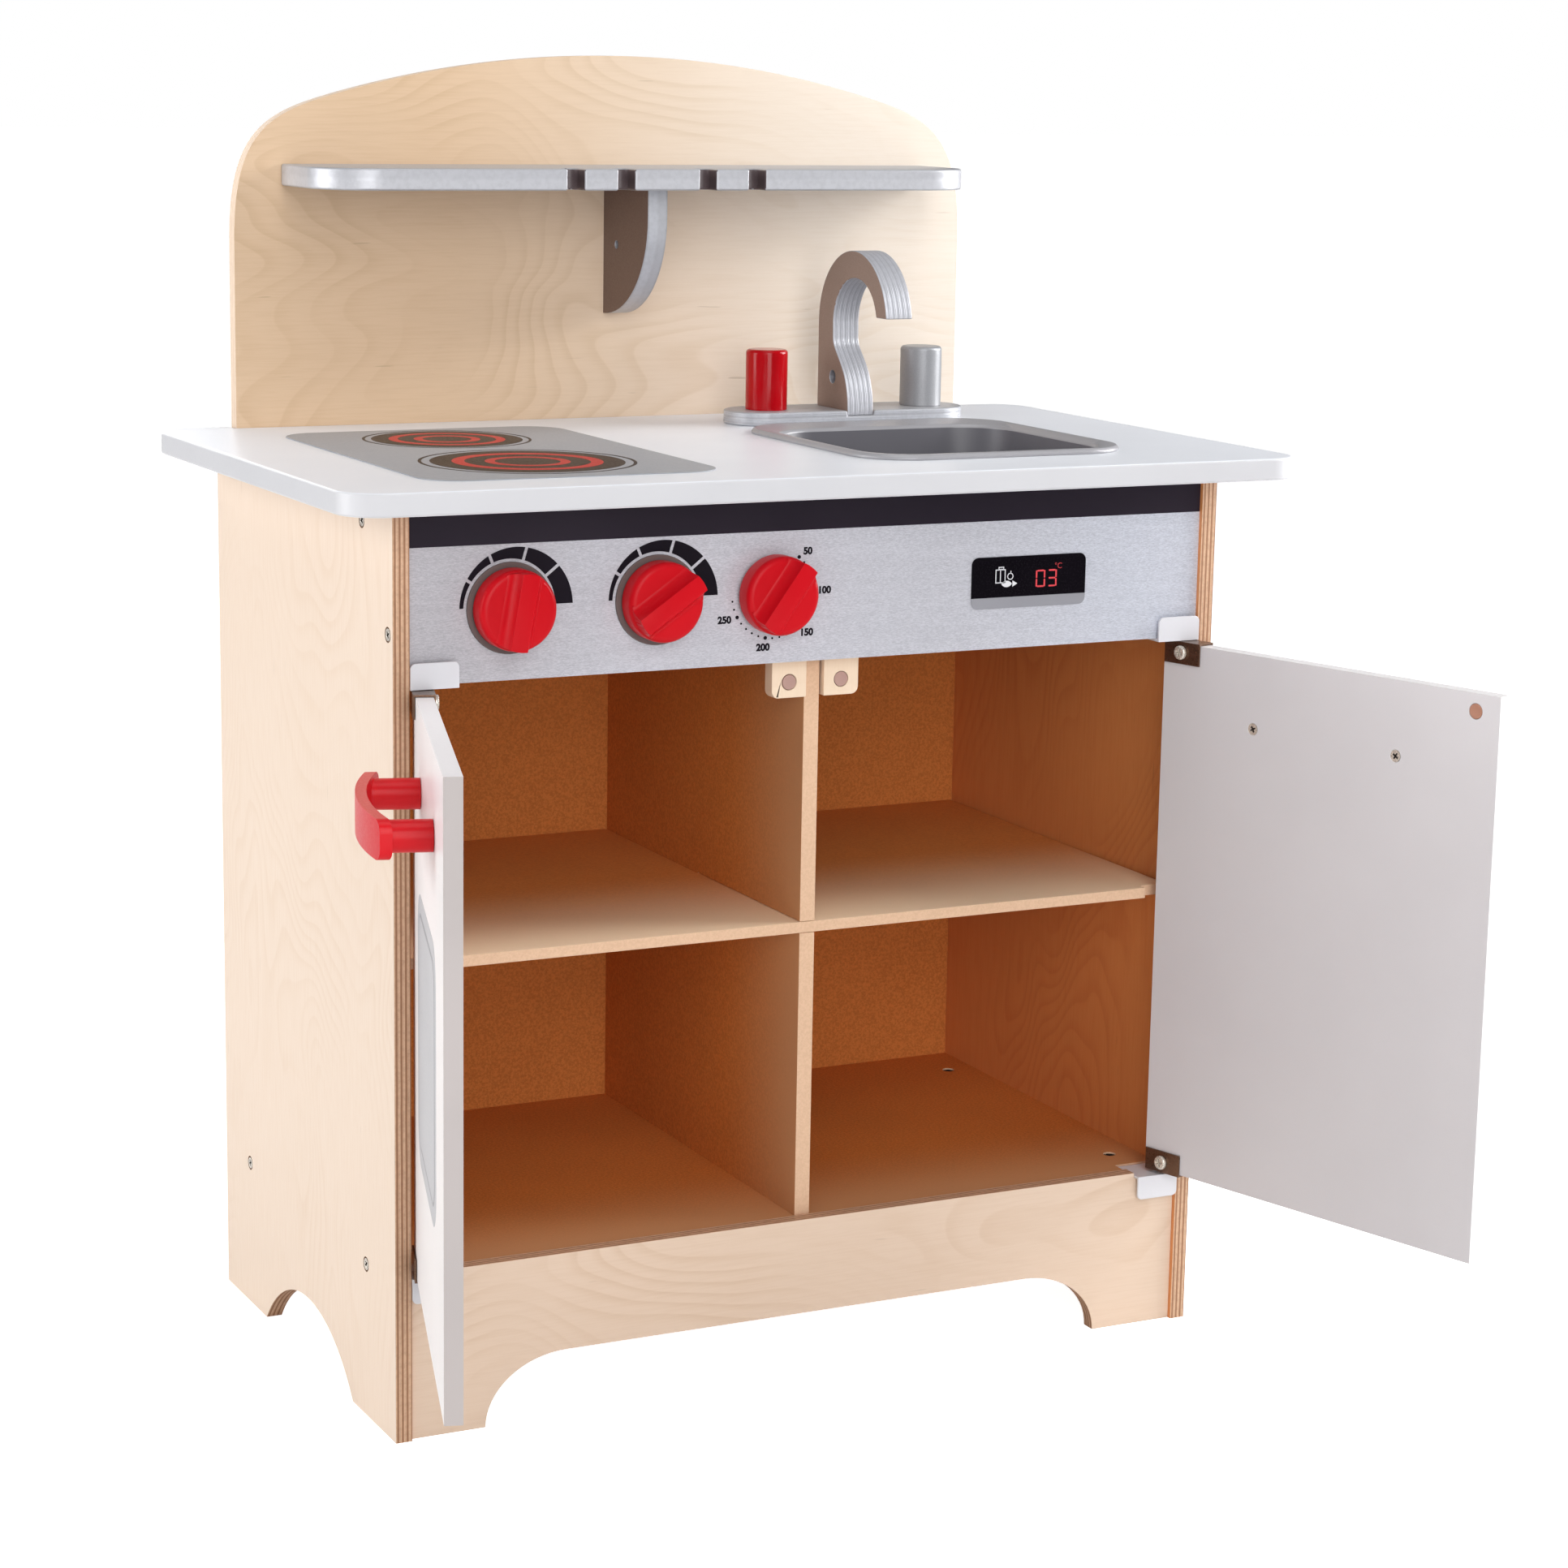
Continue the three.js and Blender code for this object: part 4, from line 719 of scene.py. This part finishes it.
def add_shelf():
    foot, thick, front, slots_middle, slots_away = 634.5, 12, 204, 241.25, 40.6
    bracket_left, bracket_thick = 235.25, 12
    shelf = from_solid("top_shelf", "top_shelf_board")
    edge = silver_edge("top_shelf_layers", Z, foot, thick, 1.0, (0.57, 0.575, 0.61), (0.53, 0.535, 0.57))
    veneer(shelf, Z, SILVER_SHELF, edge)
    # The walls of the shelf's slots get painted shade
    slot_shade_index = extra_finish(shelf, SLOT_SHADE)
    for face in shelf.data.polygons:
        depth = face.center[Y] / MM + ORIGIN[Y] - front
        away = abs(abs(face.center[X] / MM + ORIGIN[X] - slots_middle) - slots_away)
        if face.material_index == 1 and 1 < depth < 15 and away < 22:
            face.material_index = slot_shade_index
    dress(soften(shelf, 1.2, 3), "top_shelf")
    bracket = from_solid("shelf_bracket", "shelf_bracket_board")
    edge = silver_edge("bracket_layers", X, bracket_left, bracket_thick, 1.0)
    # The broad sides take the silver of painted shade
    veneer(bracket, X, SILVER_BRACKET_SHADED, edge)
    dress(soften(bracket, 0.8, 2), "shelf_bracket")


def add_tap():
    base_high, spout_left, spout_thick, handle_y = 8, 355.75, 17, 221
    base = from_solid("tap_base", "tap_base_board")
    veneer(base, Z, SILVER, silver_edge("tap_base_layers", Z, WORKTOP_TOP, base_high, 5.0))
    dress(soften(base, 1.2, 3), "tap_base")
    spout = from_solid("tap_spout", "tap_spout_hook")
    light, deep = (0.48, 0.485, 0.525), (0.42, 0.425, 0.465)
    edge = silver_edge("spout_layers", X, spout_left, spout_thick, 11.0, light, deep)
    # The broad sides take the silver of painted shade
    veneer(spout, X, SILVER_SPOUT_SHADED, edge)
    dress(soften(spout, 1.0, 3), "tap_spout")
    peg = tap_peg()
    for side, x, finish in (("left", 313.25, RED_PAINT), ("right", 415.25, SILVER_TAP)):
        spot = Matrix.Translation(at(x, handle_y, WORKTOP_TOP + base_high))
        handle = copied(peg, f"{side}_tap_knob", spot)
        dress(paint(handle, finish), f"{side}_tap_handle")
    bpy.data.objects.remove(peg)


def tap_peg():
    """A short round bar with a rounded top, and its peg below."""
    height, radius, peg, reach = 35, 12.25, 4, 7.75
    bar = upright("tap_bar", radius, height, height / 2, 64)
    pick(bar, "FACE", lambda c, n: n[Z] < -0.9)
    bpy.ops.mesh.inset(thickness=(radius - peg) * MM)
    bpy.ops.mesh.extrude_region_move(TRANSFORM_OT_translate={"value": (0, 0, -reach * MM)})
    done()
    top = height * MM
    pick(bar, "EDGE", lambda a, b: min(a[Z], b[Z]) > top - 0.0001)
    bpy.ops.mesh.bevel(offset=2.2 * MM, segments=5, profile=0.5)
    done()
    return soften(bar, 0.4)


# ---- screws
def cross_recess(reach, width, depth):
    """Two crossed bars, to be cut out of a screw's head."""
    arms = []
    for size in ((reach, width, depth), (width, reach, depth)):
        bpy.ops.mesh.primitive_cube_add(size=1, location=(0, 0, 0))
        bpy.context.object.scale = Vector((size[0], size[1], 2 * size[2])) * MM
        arms.append(settle(bpy.context.object))
    return combine(arms[0], arms[1], "UNION")


def screw(name, length, head, head_depth, domed):
    """A cross-head screw with its head up at the middle: flat and sunk, or domed."""
    shank = 1.75
    body = upright(name, shank, length - head_depth, -(length + head_depth) / 2, 40)
    pick(body, "FACE", lambda c, n: n[Z] > 0.9)
    if domed:
        bpy.ops.mesh.extrude_region_move()
        bpy.ops.transform.resize(value=(head / shank, head / shank, 1))
    bpy.ops.mesh.extrude_region_move(TRANSFORM_OT_translate={"value": (0, 0, head_depth * MM)})
    if not domed:
        bpy.ops.transform.resize(value=(head / shank, head / shank, 1))
    done()
    if domed:
        pick(body, "EDGE", lambda a, b: min(a[Z], b[Z]) > -0.0001)
        bpy.ops.mesh.bevel(offset=1.1 * MM, segments=4, profile=0.5)
        done()
    recess_wide, recess_deep = 0.95, 1.3
    combine(body, cross_recess(head * 1.15, recess_wide, recess_deep), "DIFFERENCE")
    soften(body, 0.12, 1)
    # The cross recess gets painted shade
    paint(body, STEEL, RECESS_SHADE_STEEL)
    for face in body.data.polygons:
        inside = face.center.xy.length < head * 0.6 * MM and face.center[Z] > -(recess_deep + 0.15) * MM
        if inside and (abs(face.normal[Z]) < 0.7 or face.center[Z] < -0.9 * MM):
            face.material_index = 1
    return body


def add_screws():
    side_screw = screw("side_screw", 24, 3.25, 2.25, False)
    for side, x, turn in (("left", 0, -90), ("right", WIDTH, 90)):
        for place, (y, z) in SIDE_SCREWS.items():
            name = f"{side}_{place}_screw"
            spot = Matrix.Translation(at(x, y, z)) @ Matrix.Rotation(math.radians(turn), 4, "Y")
            dress(copied(side_screw, name + "_head", spot @ Matrix.Rotation(0.3 * y, 4, "Z")), name)
    door_screw = screw("door_screw", 20, 3.25, 2.25, False)
    clip_screw = paint(screw("clip_screw", 9, 4, 2, True), STEEL, RECESS_SHADE_STEEL)
    facing = Matrix.Rotation(math.radians(-90), 4, "X")
    for side in DOORS:
        for i, away in ((1, -HANDLE_HALF), (2, HANDLE_HALF)):
            name = f"{side}_handle_screw_{i}"
            spot = door_spot(side, HANDLE_ALONG + away, DOOR_HALF, HANDLE_UP) @ facing
            dress(copied(door_screw, name + "_head", spot @ Matrix.Rotation(0.5 * i, 4, "Z")), name)
        for end, up in CLIPS:
            name = f"{side}_{end}_clip_screw"
            spot = door_spot(side, CLIP_ALONG, CLIP_BACK, up) @ facing
            dress(copied(clip_screw, name + "_head", spot @ Matrix.Rotation(0.02 * up, 4, "Z")), name)
    for made in (side_screw, door_screw, clip_screw):
        bpy.data.objects.remove(made)


def add_barrel_nuts():
    """Slotted steel nuts sunk in the cross holes of the floor, the spout and the bracket."""
    nut = rod("barrel_nut", 3.4, 7, (0, 0, 0), Z, 40)
    slot = cube("nut_slot", (-4, -0.6, 2.3), (4, 0.6, 5))
    combine(nut, slot, "DIFFERENCE")
    # The nuts are made near black as painted shade in their holes
    paint(soften(nut, 0.3), NUT_SHADE_STEEL)
    home = Matrix.Translation(-at(0, 0, 0))
    for i, (x, y) in enumerate(FLOOR_NUTS, 1):
        spot = Matrix.Translation(at(x, y, 84.2)) @ Matrix.Rotation(0.6 * i, 4, "Z") @ home
        add(copied(nut, f"floor_nut_{i}", spot), CABINET)
    side = Matrix.Rotation(math.radians(-90), 4, "Y")
    for name, place, size in (("spout_nut", (365, 220, 526), 1), ("bracket_nut", (241, 262, 601.5), 0.66)):
        spot = Matrix.Translation(at(*place)) @ side @ Matrix.Scale(size, 4) @ home
        add(copied(nut, name, spot), CABINET)
    bpy.data.objects.remove(nut)


# ---- dials
def dial_cap():
    """One dial, front up, its pointer along X: a low round cap and a straight rib with hollow flanks."""
    radius, base, depth, hollow, rib_radius = 20.9, 11.2, 18.6, 10.3, 19.8
    scoop_away, scoop_up, scoop_wide, scoop_deep = 10.5, 24, 6.5, 13
    cap = upright("dial_cap", radius, base, base / 2, 128)
    pick(cap, "EDGE", lambda a, b: min(a[Z], b[Z]) > (base - 0.1) * MM)
    bpy.ops.mesh.bevel(offset=3.6 * MM, segments=7, profile=0.5)
    done()
    rib = rod("rib", rib_radius, depth - 1, ORIGIN + Vector((0, 0, (depth + 1) / 2)), Z, 128)
    middle = ORIGIN + Vector((0, 0, depth / 2))
    size = Vector((radius + 2, hollow, depth))
    combine(rib, cube("sides", middle - size, middle + size), "INTERSECT")
    for hand in (1, -1):
        scoop = rod("scoop", 1, 60, ORIGIN, X, 96)
        place = Matrix.Translation((0, hand * scoop_away * MM, scoop_up * MM))
        scoop.matrix_world = place @ Matrix.Diagonal((1, scoop_wide, scoop_deep, 1))
        combine(rib, settle(scoop), "DIFFERENCE")
    soften(rib, 0.7, 3, 40)
    combine(cap, rib, "UNION")
    spindle = upright("spindle", 3, 16, -6, 32)
    return smooth(combine(cap, spindle, "UNION"), 32)


def add_dials():
    cap = dial_cap()
    stand = Matrix.Rotation(math.radians(90), 4, "X")
    for name, (x, angle) in DIALS.items():
        turn = Matrix.Rotation(-math.radians(angle), 4, "Y")
        dial = copied(cap, f"{name}_dial_cap", Matrix.Translation(at(x, DIAL_BACK, DIAL_Z)) @ turn @ stand)
        dress(paint(dial, RED), f"{name}_dial")
    bpy.data.objects.remove(cap)
    for name in ("left", "middle"):
        plain_piece(f"{name}_dial_collar", f"{name}_collar_ring", COLLAR, 0.3)


# ---- prints
def printed(name, finish, *pieces):
    """Thin printed marks, joined, on the cabinet."""
    return add(paint(join(name, pieces), finish), CABINET)


def mark(x, z, radius):
    """A printed dot on the control panel."""
    return rod("mark", radius, PRINT + SUNK, (x, PANEL_FRONT - (PRINT - SUNK) / 2, z), Y, 24)


def scale_arc():
    """The widening scale over the first dial, cut into five."""
    x, low, high = DIALS["left"][0], PANEL_FRONT - PRINT, PANEL_FRONT + SUNK
    outer, inner, shift, half_gap = 30.8, 25, 3.7, 0.8
    arc = rod("arc", outer, high - low, (x + shift, (low + high) / 2, DIAL_Z), Y, 128)
    combine(arc, rod("hole", inner, 4, (x, PANEL_FRONT, DIAL_Z), Y, 128), "DIFFERENCE")
    combine(arc, cube("lower_half", (x - 40, 0, DIAL_Z - 40), (x + 50, 5, DIAL_Z + half_gap)), "DIFFERENCE")
    for angle in (147, 112, 73, 38):
        gap = cube("gap", (x + 20, 0, DIAL_Z - half_gap), (x + 40, 5, DIAL_Z + half_gap))
        middle = Matrix.Translation(at(x, PANEL_FRONT, DIAL_Z))
        gap.matrix_world = middle @ Matrix.Rotation(-math.radians(angle), 4, "Y") @ middle.inverted()
        combine(arc, settle(gap), "DIFFERENCE")
    return arc


def words(text, x, z, height, y=PANEL_FRONT, weight=0.0):
    """Figures that stand on a front, sized by their height, made a mesh first."""
    bpy.ops.object.text_add(rotation=(math.pi / 2, 0, 0))
    obj = bpy.context.object
    obj.data.body = text
    obj.data.offset = weight
    obj.data.extrude = 0.1
    bpy.ops.object.convert(target="MESH")
    settle(obj)
    spots = [v.co for v in obj.data.vertices]
    low = Vector(map(min, *spots))
    high = Vector(map(max, *spots))
    size = height * MM / (high[Z] - low[Z])
    obj.scale = (size, 0.1 * MM / (high[Y] - low[Y]), size)
    middle = (low + high) / 2
    middle = Vector((middle[X] * size, middle[Y] * obj.scale[Y], middle[Z] * size))
    obj.location = at(x, y - SUNK, z) - middle
    return settle(obj)


def add_panel_prints():
    arc = scale_arc()
    step = DIALS["middle"][0] - DIALS["left"][0]
    second = copied(arc, "second_arc", Matrix.Translation((step * MM, 0, 0)))
    printed("middle_dial_scale", PRINT_BLACK, second)
    printed("left_dial_scale", PRINT_BLACK, arc)
    x = DIALS["right"][0]
    away, large, small, first, step = 23.7, 1.0, 0.55, 51, 50.4
    spots = [(angle, large) for angle in (first, 1, -49, -100, -150.5)]
    spots += [(first - step * (i + j / 5), small) for i in range(4) for j in range(1, 5)]
    spots += [(-161.5, small), (-172, small)]
    dots = []
    for angle, radius in spots:
        a = math.radians(angle)
        dots.append(mark(x + away * math.cos(a), DIAL_Z + away * math.sin(a), radius))
    printed("oven_dial_dots", PRINT_BLACK, *dots)
    figures = {
        "50": (20, 21.5), "100": (30.5, 0.4), "150": (20.4, -21.5),
        "200": (-5.4, -28.2), "250": (-27.9, -12.7)}
    numbers = [words(text, x + dx, DIAL_Z + dz, 4.1, weight=0.05) for text, (dx, dz) in figures.items()]
    printed("oven_dial_figures", PRINT_BLACK, *numbers)


# ---- display
def thin_bar(name, x0, z0, x1, z1):
    """A flat printed bar on the display's front."""
    return cube(name, (x0, DISPLAY_FRONT - 0.08, z0), (x1, DISPLAY_FRONT + 0.02, z1))


def thin_disc(name, radius, x, z, sides):
    """A flat printed disc on the display's front."""
    return rod(name, radius, 0.1, (x, DISPLAY_FRONT - 0.03, z), Y, sides)


def lit_bar(x0, z0, x1, z1):
    """One segment of a figure: a thin bar with cut ends."""
    bar = thin_bar("segment", x0, z0, x1, z1)
    pick(bar, "EDGE", lambda a, b: abs(a[Y] - b[Y]) > 0.00005)
    bpy.ops.mesh.bevel(offset=0.3 * MM, segments=2)
    done()
    return bar


def digit(x, z, bars):
    """A seven-bar figure from its lower left corner."""
    wide, high, bar, gap = 5.9, 9.4, 0.9, 0.25
    mid = high / 2
    places = {
        "top": (bar, high - bar, wide - bar, high),
        "middle": (bar, mid - bar / 2, wide - bar, mid + bar / 2),
        "bottom": (bar, 0, wide - bar, bar),
        "upper_left": (0, mid + gap, bar, high - gap),
        "upper_right": (wide - bar, mid + gap, wide, high - gap),
        "lower_left": (0, gap, bar, mid - gap),
        "lower_right": (wide - bar, gap, wide, mid - gap)}
    return [lit_bar(x + x0, z + z0, x + x1, z + z1) for x0, z0, x1, z1 in (places[b] for b in bars)]


def frame_piece(x0, z0, x1, z1, line):
    """A thin outline of a box."""
    outer = thin_bar("outline", x0, z0, x1, z1)
    low, high = DISPLAY_FRONT - 1.08, DISPLAY_FRONT + 1.02
    inner = cube("inside", (x0 + line, low, z0 + line), (x1 - line, high, z1 - line))
    return combine(outer, inner, "DIFFERENCE")


def add_display():
    plate = from_solid("display_plate", "display_film")
    pick(plate, "VERT", lambda c: True)
    strip_top = at(0, 0, DISPLAY_STRIP)
    bpy.ops.mesh.bisect(plane_co=strip_top, plane_no=(0, 0, 1))
    done()
    paint(soften(plate, 0.12), DISPLAY_BLACK, DISPLAY_GREY)
    for face in plate.data.polygons:
        face.material_index = 1 if face.center[Z] < strip_top[Z] else 0
    dress(plate, "display_plate")
    ring = ("top", "bottom", "upper_left", "upper_right", "lower_left", "lower_right")
    three = ("top", "middle", "bottom", "upper_right", "lower_right")
    segments = digit(369.7, 430.5, ring) + digit(376.9, 430.5, three)
    add(paint(join("temperature_figures", segments), PAINTED_GLOW), CABINET)
    degree = words("°C", 383.7, 441.8, 3.2, DISPLAY_FRONT)
    degree.name = "degree_sign"
    add(paint(degree, DIM_PAINTED_GLOW), CABINET)
    carton = [frame_piece(344.6, 433.7, 350.8, 441.2, 0.5), frame_piece(346.4, 441.0, 349.8, 442.6, 0.45)]
    carton.append(thin_bar("fold", 347.4, 434, 347.9, 441))
    body = thin_disc("food", 3.9, 351.6, 431.0, 40)
    belly = thin_disc("food_upper", 3.9, 351.6, 435.3, 40)
    fish = combine(body, belly, "INTERSECT")
    bpy.ops.mesh.primitive_cylinder_add(
        vertices=3, radius=2.0 * MM, depth=0.1 * MM, location=at(356.2, DISPLAY_FRONT - 0.03, 433.2),
        rotation=(math.pi / 2, math.pi / 2, 0))
    tail = settle(bpy.context.object)
    apple = thin_disc("fruit", 1.9, 353.8, 437.2, 32)
    combine(apple, rod("core", 1.4, 2, (353.8, DISPLAY_FRONT, 437.2), Y, 32), "DIFFERENCE")
    stalk = thin_bar("stalk", 353.8, 438.6, 354.3, 440.2)
    icon = join("food_sign", carton + [fish, tail, apple, stalk])
    add(paint(icon, PALE_PRINT), CABINET)


# ---- hob and sink
def ring_print(name, x, y, outer, inner, rise, finish):
    """A printed ring on the hob, or a disc where it has no inner radius."""
    ring = rod(name, outer, rise + SUNK, (x, y, HOB_TOP + (rise - SUNK) / 2), Z, 128)
    if inner:
        combine(ring, rod("hole", inner, 4, (x, y, HOB_TOP), Z, 128), "DIFFERENCE")
    return add(paint(ring, finish), CABINET)


def add_hob():
    plain_piece("hob_sheet", "hob_film", HOB_GREY, 0.1)
    burners = {
        "front": (101, 70, (57.1, 55.4), 51, (39.6, 33), (22.4, 17.2)),
        "rear": (101, 186, (46.4, 44.9), 41.5, (32, 27), (18.3, 13.4))}
    for name, (x, y, line, disc, outer, inner) in burners.items():
        ring_print(f"{name}_burner_line", x, y, *line, 0.1, HOB_BLACK)
        ring_print(f"{name}_burner_disc", x, y, disc, 0, 0.1, HOB_BLACK)
        ring_print(f"{name}_outer_glow_ring", x, y, *outer, 0.15, HOB_RED)
        ring_print(f"{name}_inner_glow_ring", x, y, *inner, 0.15, HOB_RED)


def add_sink():
    basin = soften(from_solid("sink_basin", "sink_bowl"), 0.5, 2, 30)
    paint(basin, BASIN_LIT_RIM, BASIN_SHADED_BOWL)
    # Faces inside the bowl get painted shade, the rim painted light
    rim = (WORKTOP_TOP - 0.5) * MM
    for face in basin.data.polygons:
        inside = face.center[Z] < rim and face.normal[Z] > -0.3
        face.material_index = 1 if inside else 0
    dress(basin, "sink_basin")


# ---- doors
def grip():
    """The bowed bar on its two round posts, back at Y zero, its ends rounded."""
    radius, thick, high, half, reach = 223.13, 5.6, 19.5, 61, 33.5
    post_radius, post_long = 7.75, 25.2
    middle = Vector((ORIGIN[X], ORIGIN[Y] + radius - reach, ORIGIN[Z]))
    bow = rod("bow", radius, high, middle, Z, 512)
    combine(bow, rod("inside", radius - thick, high + 2, middle, Z, 512), "DIFFERENCE")
    low = ORIGIN + Vector((-half, -reach - 1, -high / 2))
    ends = cube("ends", low, ORIGIN + Vector((half, -reach + 20, high / 2)))
    pick(ends, "EDGE", lambda a, b: abs(a[Y] - b[Y]) > 0.01)
    bpy.ops.mesh.bevel(offset=6.5 * MM, segments=8, profile=0.5)
    done()
    combine(bow, ends, "INTERSECT")
    soften(bow, 1.3, 3, 30)
    for away in (-HANDLE_HALF, HANDLE_HALF):
        post = rod("post", post_radius, post_long, ORIGIN + Vector((away, -post_long / 2, 0)), Y, 64)
        combine(bow, post, "UNION")
    soften(bow, 0.35, 2, 40)
    return bow


def strike_plate(name, across):
    """The round plate a catch magnet holds, with a pressed ring on its free face."""
    plate = from_solid(name, name + "_plate")
    pick(plate, "FACE", lambda c, n: n.dot(across) > 0.9)
    bpy.ops.mesh.dissolve_faces()
    bpy.ops.mesh.inset(thickness=1.6 * MM)
    bpy.ops.mesh.inset(thickness=0.5 * MM, depth=-0.25 * MM)
    done()
    return paint(soften(plate, 0.15), STRIKE)


def add_doors():
    bow = grip()
    for side in DOORS:
        name = f"{side}_door"
        leaf = from_solid(name, name + "_leaf")
        across = (on_door(side).to_3x3() @ Vector((0, 1, 0))).normalized()
        # The left door's edges and both doors' inner faces take painted shade
        paint(leaf, WHITE, SHADED_EDGE_WHITE if side == "left" else WHITE, SHADED_INNER_WHITE)
        for face in leaf.data.polygons:
            facing = face.normal.dot(across)
            broad = abs(facing) > BROAD or face.normal[Z] > 0.5
            face.material_index = (0 if facing < BROAD else 2) if broad else 1
        dress(soften(leaf, 0.7, 3), name)
        spot = door_spot(side, HANDLE_ALONG, -DOOR_HALF - 0.25, HANDLE_UP)
        dress(paint(copied(bow, name + "_grip", spot), GRIP_RED), name + "_handle")
        name = f"{side}_strike_disc"
        dress(strike_plate(name, across), name)
        for end, _ in CLIPS:
            name = f"{side}_{end}_hinge_plate"
            plain_piece(name, name + "_angle", HINGE_WHITE, 0.4, 3)
            name = f"{side}_{end}_hinge_clip"
            plain_piece(name, name + "_sheet", BRONZE, 0.25)
    bpy.data.objects.remove(bow)


def add_window_print():
    """The oven window printed on the left door: a pale panel with a darker line inside."""
    near, far, foot, top = 40.5 - DOOR_START, 176 - DOOR_START, 72.5, 211.5
    panels = []
    for inset, rise, corner in ((0, 0.1, 22), (9, 0.15, 15), (11, 0.2, 13)):
        low = Vector((near + inset, -DOOR_HALF - rise, foot + inset)) + ORIGIN
        high = Vector((far - inset, SUNK - DOOR_HALF, top - inset)) + ORIGIN
        panel = cube("window", low, high)
        pick(panel, "EDGE", lambda a, b: abs(a[Y] - b[Y]) > 0.00001)
        bpy.ops.mesh.bevel(offset=corner * MM, segments=10)
        done()
        panels.append(panel)
    names = (("window_panel", WINDOW_GREY), ("window_line", WINDOW_LINE), ("window_glass", WINDOW_GREY))
    for panel, (name, finish) in zip(panels, names):
        add(paint(copied(panel, name, on_door("left")), finish), "left_door_body")
        bpy.data.objects.remove(panel)


# ---- stage
# Each light's place and aim in metres, its width and its power
LIGHTS = {
    "right_softbox": ((2.2, -0.2, 1.0), (0, 0, 0.45), 1.2, 50),
    "left_softbox": ((-2.1, 0.55, 0.9), (0, 0, 0.35), 1.6, 31),
    "overhead": ((-0.1, -0.3, 2.7), (0, 0, 0.3), 1.6, 13),
    "high_front": ((-0.5, -2.5, 1.8), (0, 0, 0.3), 1.4, 22),
    "low_front": ((-0.5, -2.8, 0.7), (0, 0, 0.3), 1.4, 20),
    "camera_side": ((-1.6, -2.4, 1.0), (0, 0, 0.3), 1.4, 10),
    "rear": ((-0.2, 2.7, 1.2), (0, 0.2, 0.35), 1.6, 22),
    "near_right": ((1.15, -0.35, 1.2), (0.15, 0.15, 0.55), 0.5, 6),
}


def add_camera():
    """The viewing place, turn and lens fitted to the board edges."""
    yaw, pitch, roll = 0.4641, 0.1982, 0.0174
    place, focal, picture = (-617.98, -1671.28, 708.75), 4451.25, 1932
    across = Vector((math.cos(yaw), -math.sin(yaw), 0))
    ahead = Vector((math.sin(yaw) * math.cos(pitch), math.cos(yaw) * math.cos(pitch), -math.sin(pitch)))
    up = across.cross(ahead)
    right = math.cos(roll) * across + math.sin(roll) * up
    top = -math.sin(roll) * across + math.cos(roll) * up
    camera = bpy.data.cameras.new("camera")
    camera.sensor_width = 36
    camera.lens = camera.sensor_width * focal / picture
    camera.clip_start = 0.05
    camera.clip_end = 200
    obj = bpy.data.objects.new("camera", camera)
    turn = Matrix((right, top, -ahead)).transposed().to_4x4()
    obj.matrix_world = Matrix.Translation(at(*place)) @ turn
    bpy.context.collection.objects.link(obj)
    bpy.context.scene.camera = obj


def add_light(name, place, target, size, power):
    light = bpy.data.lights.new(name, "AREA")
    light.shape = "DISK"
    light.size = size
    light.energy = power
    obj = bpy.data.objects.new(name, light)
    obj.location = place
    obj.rotation_euler = (Vector(target) - Vector(place)).to_track_quat("-Z", "Y").to_euler()
    bpy.context.collection.objects.link(obj)


def add_world():
    """A white backdrop that gives only part of its brightness to the object."""
    world = bpy.data.worlds.new("studio")
    world.use_nodes = True
    tree = world.node_tree
    ray = tree.nodes.new("ShaderNodeLightPath").outputs["Is Camera Ray"]
    strength = math_node(tree, "ADD", math_node(tree, "MULTIPLY", ray, 1.0 - WORLD_LIGHT), WORLD_LIGHT)
    tree.nodes["Background"].inputs["Color"].default_value = (1, 1, 1, 1)
    tree.links.new(strength, tree.nodes["Background"].inputs["Strength"])
    bpy.context.scene.world = world


def add_floor():
    bpy.ops.mesh.primitive_plane_add(size=60, location=(0, 0, 0))
    floor = bpy.context.object
    floor.name = "floor"
    finish, tree, shader, _ = finish_of("pale_floor", Base_Color=(0.8, 0.8, 0.8, 1), Roughness=0.8)
    shader.inputs["Emission Color"].default_value = (1, 1, 1, 1)
    ray = tree.nodes.new("ShaderNodeLightPath").outputs["Is Camera Ray"]
    tree.links.new(math_node(tree, "MULTIPLY", ray, 0.92), shader.inputs["Emission Strength"])
    paint(floor, finish)


add_side_panels()
add_plain_boards()
add_control_panel()
add_shelf()
add_tap()
add_screws()
add_barrel_nuts()
add_dials()
add_panel_prints()
add_display()
add_hob()
add_sink()
add_doors()
add_window_print()
add_camera()
add_world()
add_floor()
for name, values in LIGHTS.items():
    add_light(name, *values)
bpy.context.scene.view_settings.view_transform = "Standard"
